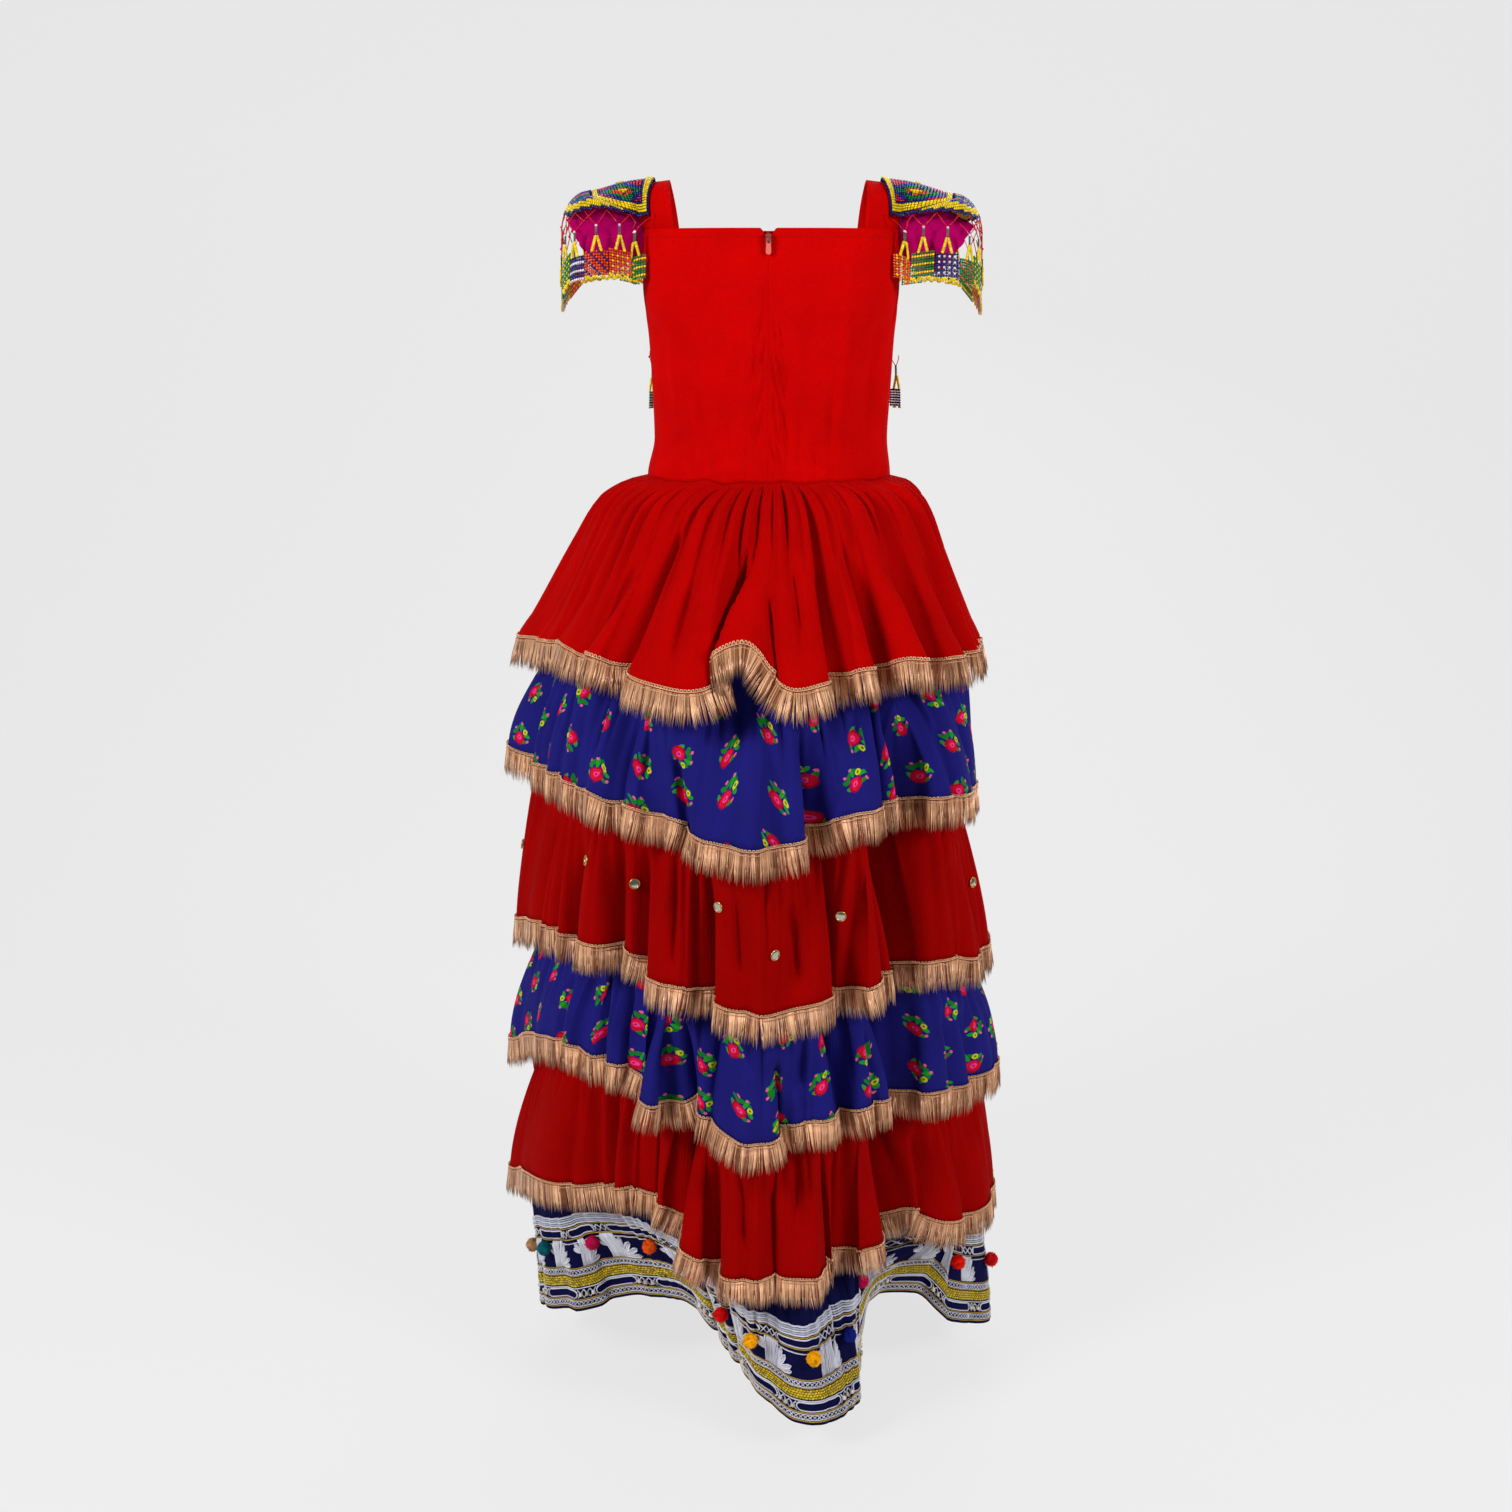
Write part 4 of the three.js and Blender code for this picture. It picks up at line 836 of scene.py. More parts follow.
def curtainSurface(grid):
    # heights from the bottom edge up
    apron = apronOf(grid, 120, closed=False)
    apron["tall"] = grid[0, :, 2] - grid[-1, :, 2]
    return apron


def tabPaint(kind, x, y):
    # the woven pattern of one square tab
    ground, spot, form = kind
    paint = np.tile(glass[ground], (len(x), 1))
    i = np.round(x / 2.6).astype(int)
    j = np.round(y / 2.6).astype(int)
    if form == "dots":
        paint[(i % 2 == 0) & (j % 2 == 1)] = glass[spot]
    elif form == "rows":
        paint[j % 3 == 1] = glass[spot]
    else:
        paint[(i + j) % 4 == 0] = glass[spot]
    return paint


tabKinds = [
    ("orange", "yellow", "dots"), ("green", "yellow", "rows"), ("navy", "white", "dots"),
    ("green", "orange", "checks"), ("green", "yellow", "dots"), ("navy", "white", "rows"),
    ("orange", "navy", "checks"),
]


def beadCurtain(surface, tabs, first, seed, sleeve=False):
    # tabs along the bottom with yellow loops, short bead strings and a red thread net above
    wide = surface["along"][-1]
    step = wide / tabs
    size = min(24.5, step - 0.4)
    places, paints, yellow, cords = [], [], [], []

    def rootDepth(x):
        return 24 * math.sin(math.pi * x / wide) ** 1.5 if sleeve else 0.0

    def rootOf(x):
        return np.interp(x, surface["along"], surface["tall"]) - rootDepth(min(max(x, 0), wide)) - 1

    for k in range(tabs):
        middle = (k + 0.5) * step
        kind = tabKinds[(k + first) % len(tabKinds)]
        slip = 4.5 * math.sin(2.3 * k + seed)
        cell = np.concatenate([row(middle - size / 2, middle + size / 2, 2.6, y=y + slip) for y in
                               3.5 + row(0, size, 2.6)[:, 0]])
        places.append(cell)
        paints.append(tabPaint(kind, cell[:, 0] - middle + size / 2, cell[:, 1]))
        picot = row(middle - size / 2, middle + size / 2, 4.4, y=1.0 + slip)
        picot[1::2, 1] -= 2.2
        yellow += [picot, picot + [1.3, 1.2, 0.3], picot - [1.3, -1.2, -0.3]]
        top = 3.5 + size + slip
        for side in (-1, 1):
            arm = np.linspace(0, 1, 8)[:, None]
            yellow.append(np.array([[middle + side * 4.6, top, 1.6]]) * (1 - arm)
                          + np.array([[middle + side * 0.9, top + 13, 1.6]]) * arm)
        room = rootOf(middle) - top - 14
        end = top + 14 + max(3, min(10, room - 10))
        string = np.stack([np.full(6, middle), np.linspace(top + 14, end, 6), np.full(6, 1.0)], -1)
        places.append(string)
        paints.append(np.tile(glass["grey"], (6, 1)))
        # rows of a red thread net with a bead at each crossing
        rows = max(1, round((rootOf(middle) - end) / 12))
        for j in range(rows):
            start = middle + (j % 2) * step / 2
            for side in (-1, 1):
                far = start + side * step / 2
                t = np.linspace(0, 1, 4)
                low, high = (mix(end, rootOf(x), share) for x,
                    share in ((start, j / rows), (far, (j + 1) / rows)))
                cords.append(flatCord(mix(start, far, t), mix(low, high, t), 1.2, 0.6, 3))
            places.append(np.array([[start, mix(end, rootOf(start), j / rows), 1.4]]))
            paints.append(np.array([glass["red" if j % 2 else "white"]]))
    if sleeve:
        # dense beadwork carries the panel on over the arm
        for x in row(0, wide, 2.6)[:, 0]:
            deep = rootDepth(x)
            below = np.arange(1.0, deep, 2.6)
            places.append(np.stack([x + 0 * below, np.interp(x, surface["along"], surface["tall"]) - below,
                                    0.8 + 0 * below], -1))
            kind = np.where(deep - below < 3, "navy", np.where(deep - below < 10, "yellow", "blue"))
            kind[(deep - below > 12) & (x % 26 < 12)] = "green"
            kind[(deep - below > 14) & (x % 26 < 5)] = "orange"
            paints.append(np.array([glass[name] for name in kind]).reshape(-1, 4))
    beads = copiesOf(beadShape(1.55), np.concatenate(places), paints=np.concatenate(paints), tilt=0.5,
        seed=seed)
    drops = copiesOf(beadShape(1.8), np.concatenate(yellow), paints=glass["yellow"], tilt=0.5,
        seed=seed + 1)
    net = joinedPart(cords)
    net["paint"][:] = glass["red"]
    return joinedPart([onto(surface, part) for part in (beads, drops, net)])


def padEdge(pad, sign):
    # the panel's edge from the back over the arm to the front
    straight = ordered(pad, sign)
    line = np.concatenate([straight[:-1, 0], straight[-1], straight[-2::-1, -1]])
    corner = [0, len(pad) - 1, len(pad) - 1 + pad.shape[1] - 1, len(line) - 1]
    stations = np.interp(np.arange(len(line)), corner, [0, 2, 10, 12])
    even = np.linspace(0, 12, 121)
    line = np.stack([np.interp(even, stations, line[:, k]) for k in range(3)], -1)
    for _ in range(6):
        line[1:-1] = (line[:-2] + 2 * line[1:-1] + line[2:]) / 4
    ahead = np.gradient(line, axis=0)
    outward = np.cross(ahead, [0, 0, 1.0]) * [1, 1, 0]
    outward /= np.linalg.norm(outward, axis=1, keepdims=True)
    away = np.sum(outward * (line - [sign * 135, 2, 0]), axis=1, keepdims=True)
    outward *= np.where(away > 0, 1, -1)
    for _ in range(10):
        outward[1:-1] = (outward[:-2] + 2 * outward[1:-1] + outward[2:]) / 4
    outward /= np.linalg.norm(outward, axis=1, keepdims=True)
    # a little further in along the straps at both ends
    inward = np.arange(12, 0, -2)[:, None] * [[-sign, 0, 0]]
    line = np.concatenate([line[0] + inward, line, line[-1] + inward[::-1]])
    outward = np.concatenate([np.tile(outward[0], (6, 1)), outward, np.tile(outward[-1], (6, 1))])
    return line, outward


def makeShoulder(side, sign, sleeveOut, sleeveTop, padOut, padTop):
    turn = np.linspace(0, np.pi, 61)
    neck = strapPath(sign, "neck", turn)
    arm = strapPath(sign, "arm", turn)
    strap = np.stack([mix(neck, arm, share) for share in np.linspace(0, 1, 9)])
    piece = clothPiece(f"strap_{side}", ordered(strap, sign), False, materials["bodice"], 1.8)

    sine = np.sin(turn)
    cosine = np.cos(turn)
    root = arm + [sign, 0, 0]
    middle = np.stack([
        sign * mix(172, 187, sine ** 0.5), -58 * np.sign(cosine) * np.abs(cosine) ** 1.1,
        sleeveTop + 16 - 34 * np.abs(cosine) ** 6], axis=-1)
    hem = np.stack([sign * mix(178, sleeveOut, sine), -62 * cosine, mix(-93, sleeveTop, sine)], axis=-1)
    rows = []
    for k, line in enumerate((root, middle, hem)):
        ends = [
            [bodicePoint(np.array(at), np.array(-78.0), 0.6), np.array([sign * 160, facing * 52, -88]),
             np.array([sign * 163, facing * 56, -95])][k]
            for facing, at in ((-1, sign * 76), (1, sign * 104))
        ]
        share = np.linspace(0, 1, 7)[:, None]
        rows.append(np.concatenate([mix(ends[0], line[0], share[:-1]), line,
            mix(line[-1], ends[1], share[1:])]))
    sleeve = ordered(throughRows(rows, [0, 0.45, 1], 25), sign)
    # small gathers that fan out from the armhole
    place = np.linspace(0, 1, sleeve.shape[1])
    ripple = np.sin(2 * np.pi * (17 * place + 0.6 * np.sin(9 * place)))
    grow = np.linspace(0, 1, len(sleeve))
    lift = (1.6 * grow * ripple[:, None]).T + 0.6 * np.sin(14 * grow)[:, None] * np.cos(40 * place)[None]
    sleeve = sleeve - normalsOf(sleeve, False) * lift[..., None]
    piece = clothPiece(f"sleeve_{side}", sleeve, False, materials["sleeve"], 1.4)

    pad = makePad(side, sign, padOut, padTop)
    line, outward = padEdge(pad, sign)
    grid = ordered(curtainOf(line + outward * 1.5, outward, shoulder["hang"]), sign)
    curtain = curtainSurface(grid)
    work = beadCurtain(curtain, 13, 0 if sign > 0 else 3, 11 if sign > 0 else 21, True)
    pieceOf(f"bead_fringe_{side}_beads", work, materials["beads"], f"bead_fringe_{side}")


chest = dict(
    top=-118, bottom=-166, clear=4.2, strip=-168.1, tabs=17,
    hang=[(0, 15, 26, 70), (2, 4, 20, 72), (4, 4, 20, 76), (6, 4, 20, 80), (8, 4, 20, 80),
          (10, 4, 20, 76), (12, 4, 20, 72), (14, 4, 20, 70)],
)


def makeChest():
    at = np.linspace(110, 250, 85)
    z = np.linspace(chest["top"], chest["bottom"], 13)[:, None]
    panel = bodicePoint(at[None] + 0 * z, z + 0 * at[None], chest["clear"])
    backing = clothPiece("chest_panel", panel, False, materials["beadGround"], 1.6)
    wide = lengthsAcross(panel, False)[:, -1].mean()
    tall = chest["top"] - chest["bottom"]
    surface = surfaceOf(panel[::-1], False, 0.0, tall / (len(panel) - 1), np.linspace(0, wide, len(at)))
    places = np.concatenate([row(1, wide - 1, 3.3, y=y, out=0.1) for y in row(1, tall - 1, 3.3)[:, 0]])
    third = wide / 3
    paint = panelPaint(places[:, 0] % third, places[:, 1], third, tall, 6)
    work = onto(surface, copiesOf(beadShape(1.7), places, paints=paint, tilt=0.4, seed=12))
    pieceOf("chest_panel_beads", work, materials["beads"], None)
    line = bodicePoint(at, np.full(len(at), chest["strip"]), 3.4)
    outward = line * [1, 1, 0] / np.linalg.norm(line * [1, 1, 0], axis=1, keepdims=True)
    curtain = curtainSurface(curtainOf(line, outward, chest["hang"]))
    work = beadCurtain(curtain, chest["tabs"], 2, 31)
    pieceOf("chest_fringe_beads", work, materials["beads"], "chest_fringe")


def makeZip():
    # the coil shows only in the notch above the slider
    tooth = loft(np.array([[[x * s, y * s, z] for x,
        y in ((-0.9, -0.35), (0.9, -0.35), (0.9, 0.35), (-0.9, 0.35))]
                           for z, s in ((0, 1), (0.7, 1), (1.0, 0.6))]))
    places = np.array([[side * 0.55, -54.6 - 1.2 * k - 0.6 * (side > 0),
        0] for k in range(3) for side in (-1, 1)])
    flat = copiesOf(tooth, places, paints=colour("#9A2A2A"), seed=4)
    x, y, out = flat["points"].T
    points = np.stack([x, -83.4 - out, y], -1)
    pieceOf("zip_teeth", dict(flat, points=points), materials["stitched"], None)


# Skirt

skirt = dict(
    columns=660, wall=1.3, cadWall=1.8, topFolds=2.2, lowerFolds=1.9,
    seamAboveHem=32, recess=11, fringe=34)

# Each tier hangs round its own centre. Folds are rows of angle, distance out and lift at the hem.
tiers = [
    dict(name="tier_1", centre=(-12, 0), hem=-497, front=245, wave=9, folds=[
        (-99, 276, 2), (-87, 252, 8), (-75, 240, 14), (-63, 234, 20), (-51, 232, 14), (-45, 247, 22),
        (-39, 232, 12), (-27, 251, 4), (-15, 258, 0), (-9, 244, 12), (-3, 232, 46), (3, 242, 20),
        (9, 256, 2),
        (15, 251, 6), (21, 230, 8), (27, 246, 16), (33, 226, 10), (39, 248, 22), (51, 222, 6),
        (57, 244, 10),
        (63, 250, 8), (81, 250, 8), (99, 254, 0)]),
    dict(name="tier_2", centre=(-12, 5), hem=-658, front=255, wave=10, folds=[
        (-99, 292, 34), (-87, 260, 29), (-75, 246, 32), (-63, 246, 36), (-51, 236, 32), (-45, 250, 36),
        (-39, 238, 28), (-33, 250, 30), (-27, 232, 22), (-21, 246, 24), (-15, 254, 10), (-3, 264, 2),
        (3, 252, 0),
        (9, 256, 4), (15, 228, 10), (21, 246, 24), (27, 248, 26), (33, 236, 24), (39, 244, 28),
        (45, 206, 16),
        (51, 246, 24), (57, 260, 20), (69, 256, 12), (87, 248, 4), (99, 252, 0)]),
    dict(name="tier_3", centre=(-12, 10), hem=-847, front=260, wave=11, folds=[
        (-99, 292, 6), (-87, 268, 22), (-75, 254, 34), (-63, 242, 40), (-57, 224, 34), (-51, 244, 48),
        (-39, 222, 44), (-33, 220, 34), (-27, 240, 25), (-21, 232, 21), (-15, 218, 14), (-9, 242, 8),
        (3, 242, 1),
        (15, 239, 7), (21, 228, 6), (27, 210, 6), (33, 238, 17), (39, 236, 18), (45, 200, 4), (51, 234, 19),
        (57, 252, 20), (69, 264, 5), (81, 272, 0), (99, 268, 0)]),
    dict(name="tier_4", centre=(-12, 15), hem=-1002, front=265, wave=12, folds=[
        (-99, 304, 0), (-87, 272, 30), (-75, 258, 50), (-63, 246, 60), (-57, 230, 56), (-45, 232, 58),
        (-39, 212, 48), (-33, 237, 27), (-27, 196, 20), (-21, 208, 27), (-15, 226, 20), (-3, 236, 3),
        (3, 238, 0),
        (9, 216, 10), (21, 222, 15), (27, 209, 7), (33, 225, 18), (39, 226, 19), (51, 196, 2),
        (57, 243, 10),
        (69, 258, 0), (81, 284, 0), (99, 290, 0)]),
    dict(name="tier_5", centre=(-12, 20), hem=-1180, front=270, wave=12, folds=[
        (-99, 312, 0), (-87, 286, 26), (-75, 270, 42), (-63, 240, 54), (-57, 222, 60), (-45, 214, 72),
        (-39, 198, 70), (-33, 209, 66), (-27, 190, 52), (-21, 226, 24), (-15, 204, 8), (-9, 222, 0),
        (3, 215, 0),
        (9, 224, 0), (21, 216, 0), (33, 188, 0), (39, 220, 6), (45, 216, 8), (51, 184, 14), (57, 224, 30),
        (63, 250, 10), (75, 276, 0), (87, 291, 4), (99, 294, 0)]),
    dict(name="hem_tier", centre=(0, 30), hem=-1385, front=270, wave=13, folds=[
        (-99, 290, 8), (-87, 278, 36), (-75, 250, 62), (-69, 196, 80), (-63, 160, 88), (-51, 132, 88),
        (-39, 121, 70), (-27, 124, 50), (-15, 138, 36), (-3, 178, 25), (3, 196, 18), (9, 211, 6),
        (21, 212, 0),
        (33, 198, 0), (39, 174, 0), (45, 160, 16), (57, 144, 62), (63, 150, 82), (69, 188, 86),
        (75, 244, 46),
        (81, 264, 26), (93, 288, 4), (99, 291, 0)]),
]
# The first tier puffs out from the waist: depth below it, share of the flare and height of the gathers
puffRows = [(-1.5, -0.01, 0), (0.5, 0.008, 1.0), (4, 0.09, 3.6), (8, 0.165, 4.4), (24, 0.33, 6),
    (68, 0.53, 4.5), (158, 0.88, 0), (190, 1, 0)]
skirtAngles = -180 + 360 / skirt["columns"] * np.arange(skirt["columns"])

# Main folds besides the tables' own, tier by tier: angle at the top and at the hem, first and last
# share of the way down, distance out (less than nothing is a hollow) and half width
foldLines = [
    [(-31, -37, 0.22, 1, -11, 8), (-42, -49, 0.4, 1, -9, 9), (-3, -10, 0.3, 0.98, -10, 7),
        (-1, 5, 0.55, 1, -6, 6),
     (9, 12, 0.35, 0.85, -6, 7), (17, 20, 0.4, 1, -8, 8), (29, 33.5, 0.3, 1, -8, 7),
     (44, 52, 0.35, 1, -7, 8),
     (38, 42, 0.5, 1, 5, 9), (-62, -69, 0.5, 1, -7, 8), (-20, -22, 0.45, 0.95, -5, 8),
     (-12, -16, 0.3, 0.8, 4, 9),
     (24, 27, 0.35, 0.9, 4, 9), (60, 66, 0.4, 1, -7, 8), (76, 82, 0.4, 1, -6, 9),
     (-80, -84, 0.4, 1, -7, 9)],
    [(-75, -74, 0, 1, -7, 9), (-62, -64, 0, 1, -6, 8), (-48, -47, 0, 0.7, -8, 8), (-37, -36, 0.1, 1, -7, 8),
     (-22, -17, 0.3, 1, -9, 7), (-3, -6, 0, 0.45, -11, 9), (11, 14, 0.05, 1, -12, 8),
     (18, 19, 0.2, 0.9, 4, 9),
     (36, 36, 0, 1, -8, 8), (41, 42, 0, 1, -22, 12), (-30, -28, 0.1, 0.7, -5, 8), (2, -1, 0.3, 1, 4, 12),
     (55, 57, 0.3, 1, -6, 8), (68, 72, 0.2, 1, -7, 9), (27, 28, 0.1, 0.6, -5, 8),
     (-88, -88, 0.1, 1, -7, 9)],
    [(-78, -78, 0.1, 1, -7, 8), (-66, -68, 0.1, 1, -6, 7), (-58, -58, 0.3, 1, -7, 6),
        (-42, -43, 0, 1, -10, 8),
     (-33, -33, 0, 1, -11, 8), (-22, -24, 0, 0.9, -5, 8), (-13, -13, 0, 1, -13, 8),
     (-5, -4, 0.1, 0.8, -5, 8),
     (7, 12, 0.2, 0.9, -6, 9), (20, 24.5, 0, 1, -13, 8), (38, 38, 0, 1, -12, 9), (45, 46, 0, 1, -22, 12),
     (60, 62, 0.2, 1, -6, 9), (72, 76, 0.2, 1, -7, 9), (0, 1, 0.2, 1, 4, 10), (30, 31, 0.1, 1, 4, 10)],
    [(-68, -66, 0.1, 1, -7, 8), (-52, -50, 0, 1, -13, 9), (-43, -42, 0.1, 1, -6, 8),
        (-34, -35, 0, 1, -14, 8),
     (-25, -21, 0, 1, -15, 11), (-12, -13, 0.1, 1, -7, 8), (4, 7, 0.2, 1, -10, 7), (12, 12, 0, 0.7, -8, 9),
     (24, 28, 0, 1, -11, 8), (36, 37, 0.2, 1, -6, 8), (47, 49, 0, 1, -23, 12), (62, 63, 0.2, 1, -6, 9),
     (-3, -3, 0.2, 1, 4, 10), (70, 73, 0.2, 1, -7, 9)],
    [(-66, -66, 0, 1, -6, 8), (-60, -58, 0, 1, -7, 8), (-54, -53, 0, 1, -12, 9), (-45, -45, 0, 1, -8, 9),
     (-36, -36, 0, 1, -13, 8), (-25, -24, 0, 1, -12, 8), (-14, -12.5, 0, 1, -12, 8),
     (-4, -3, 0.1, 0.8, -5, 8),
     (4, 6, 0.2, 1, -7, 8), (13, 13, 0, 0.6, -7, 8), (23, 24, 0, 1, -12, 8), (30, 30, 0, 1, -8, 8),
     (38, 38, 0.1, 1, -5, 8), (49, 48, 0, 1, -22, 12), (61, 60, 0.1, 1, -11, 9), (70, 72, 0.2, 1, -6, 9),
     (0, 0, 0.3, 1, 4, 10), (17, 17, 0.3, 1, 4, 10)],
    [(-72, -72, 0.2, 1, -4, 12), (-30, -30, 0.3, 1, -4, 12), (6, 6, 0.3, 1, -3, 12),
        (28, 28, 0.3, 1, -3, 12),
     (78, 80, 0.3, 1, -4, 12)],
]
# the same for the wearer's front, shifted a little from tier to tier
frontLines = [
    (108, 110, 0.1, 1, -7, 8), (121, 119, 0.2, 1, -6, 9), (133, 136, 0, 0.8, -5, 8),
    (147, 146, 0.2, 1, -8, 8),
    (160, 163, 0.1, 1, -6, 9), (174, 172, 0.2, 1, -7, 8), (187, 190, 0, 0.9, -6, 9),
    (201, 199, 0.2, 1, -8, 8),
    (214, 216, 0.1, 1, -5, 8), (228, 226, 0.2, 1, -7, 9), (241, 243, 0.1, 0.9, -6, 8),
    (252, 251, 0.2, 1, -6, 9),
]


def foldRows(tier):
    # the table's back, and evened-out folds round the front
    rows = list(tier["folds"])
    first, last = rows[0], rows[-1]
    count = 12
    for i in range(1, count):
        share = i / count
        swing = (-1 if i % 2 else 1) * tier["wave"] * (0.7 + 0.3 * math.cos(5 * i))
        out = mix(mix(last[1], first[1], share), tier["front"], math.sin(math.pi * share)) + swing
        rows.append((99 + 162 * share, out, mix(last[2], first[2], share ** 3)))
    return rows


def hemRing(tier, number):
    rows = foldRows(tier)
    out = roundTable(rows, 1, skirtAngles)
    lift = roundTable(rows, 2, skirtAngles)
    out = out + 1.2 * waves(skirtAngles, 40 + number, 22, 38)
    # deep folds lean over the hollows beside them
    depth = out - softened(out, 16)
    slope = (np.roll(depth, -1) - np.roll(depth, 1)) / (2 * out * math.radians(360 / skirt["columns"]))
    lean = -6 * np.tanh(0.9 * depth * slope / 6)
    angle = np.radians(skirtAngles) + lean / out
    x = tier["centre"][0] + out * np.sin(angle)
    y = tier["centre"][1] - out * np.cos(angle)
    return np.stack([x, y, tier["hem"] + 0 * x], axis=-1), lift


def foldDepth(number, shares):
    shift = 5 * math.sin(2.1 * number)
    front = [(a + shift, b + shift, *rest) for a, b, *rest in frontLines]
    total = np.zeros((len(shares), len(skirtAngles)))
    for top, bottom, first, last, out, wide in foldLines[number] + front:
        place = mix(top, bottom, shares)[:, None]
        gap = np.radians((skirtAngles[None] - place + 180) % 360 - 180) * 235
        start = np.clip((shares - first) / 0.2 + 0.25, 0, 1) if first > 0 else 1 + 0 * shares
        end = np.clip((last - shares) / 0.2, 0, 1) if last < 1 else 1 + 0 * shares
        hold = start * end
        hold = hold * hold * (3 - 2 * hold)
        if out < 0:
            # a hollow is a narrow valley between broad shoulders
            valley = np.exp(-np.abs(gap / (0.7 * wide)) ** 1.5)
            shoulders = np.exp(-(gap / (1.8 * wide)) ** 2)
            form = 0.75 * valley + 0.25 * shoulders
        else:
            form = np.exp(-(gap / wide) ** 2)
        total += out * hold[:, None] * form
    return total


def gathers(seed, count):
    # soft round ridges with narrow hollows, uneven in spacing
    phase = np.radians(count * skirtAngles) + 1.3 * waves(skirtAngles, seed, 3, 11)
    return 2 * ((1.004 + np.cos(phase)) / 2) ** 0.4 - 1.3


def radialOf(grid, centre=(0, 0)):
    radial = (grid - [centre[0], centre[1], 0]) * [1, 1, 0]
    return radial / np.linalg.norm(radial, axis=2, keepdims=True)


def firstTier(tier):
    ring, lift = hemRing(tier, 0)
    downs = np.concatenate([[-1.5, 0.5], np.linspace(2.5, 24, 8), np.linspace(24, 190, 18)[1:]])
    table = np.array(puffRows)
    flare = smoothThrough(table[:, 0], table[:, 1], downs)[:, None]
    gather = smoothThrough(table[:, 0], table[:, 2], downs)[:, None]
    start = bodicePoint(skirtAngles, np.full(len(skirtAngles), float(waist)), -0.2)
    grid = mix(start[None], ring[None], flare[..., None])
    radial = radialOf(grid)
    # every gather fades at its own depth
    length = 88 + 62 * waves(skirtAngles, 3, 5, 19)
    fade = np.exp(-(downs[:, None] / np.clip(length, 24, 240)[None]) ** 2)
    uneven = np.clip(0.85 + 0.3 * waves(skirtAngles, 8, 9, 31), 0.3, 1.5)
    pleat = gathers(4, 54) * uneven
    fine = gathers(5, 92) * 0.6 * np.exp(-downs[:, None] / 26)
    ridge = gather * (0.25 * pleat + fine) + 7.2 * fade * pleat * np.clip(downs[:, None] / 6, 0, 1)
    grid = grid + radial * (ridge + skirt["topFolds"] * foldDepth(0, downs / 190))[..., None]
    seam = (waistLine(skirtAngles) - waist)[None] * np.exp(-np.clip(downs[:, None], 0, None) / 20)
    grid[..., 2] = waist - downs[:, None] + seam + lift[None] * np.clip(downs[:, None] / 190, 0, 1) ** 2
    return grid


def lappedFlap(grid, tier):
    # right of the centre back one flap laps over the other: the cloth turns back under it, more and
    # more towards the hem. The second grid only draws in there, for what hangs behind.
    lapped = grid.copy()
    behind = grid.copy()
    centre = np.array([tier["centre"][0], tier["centre"][1], 0])
    for k in range(len(grid)):
        share = (waist - grid[k, :, 2].mean()) / 180
        hold = np.clip((share - 0.12) / 0.75, 0, 1)
        hold = hold * hold * (3 - 2 * hold)
        edge = -0.5 - 5.5 * np.clip((share - 0.3) / 0.7, 0, 1)
        turn = np.radians(hold * smoothThrough(
            [edge - 30, edge - 8, edge - 2, edge, edge + 3, edge + 8, edge + 30],
            [0, 0, 2.2, -4.2, -0.5, 0, 0],
            skirtAngles))
        out = hold * smoothThrough(
            [edge - 30, edge - 9, edge - 3, edge - 1, edge + 0.5, edge + 8, edge + 30],
            [0, 0, -7, -2, 4, 0, 0],
            skirtAngles)
        spoke = (grid[k] - centre) * [1, 1, 0]
        reach = np.linalg.norm(spoke, axis=1)
        way = spoke / reach[:, None]
        c, s = np.cos(turn), np.sin(turn)
        turned = np.stack([way[:, 0] * c - way[:, 1] * s, way[:, 0] * s + way[:, 1] * c, 0 * c], -1)
        lapped[k, :, :2] = (centre + turned * (reach + out)[:, None])[:, :2]
        near = np.exp(-((skirtAngles - edge + 3) / 7) ** 4)
        behind[k] = grid[k] - way * (11 * hold * near)[:, None]
    return lapped, behind


def within(ring, centre, clear, columns):
    # a ring moved in so far that it stays behind the nearest hollows too
    spoke = (ring - [centre[0], centre[1], 0]) * [1, 1, 0]
    reach = np.linalg.norm(spoke, axis=1)
    nearest = np.min([np.roll(reach, k) for k in range(-columns, columns + 1)], axis=0)
    inner = np.minimum(softened(nearest, 0.8 * columns), reach) - clear
    return ring + spoke * (inner / reach - 1)[:, None]


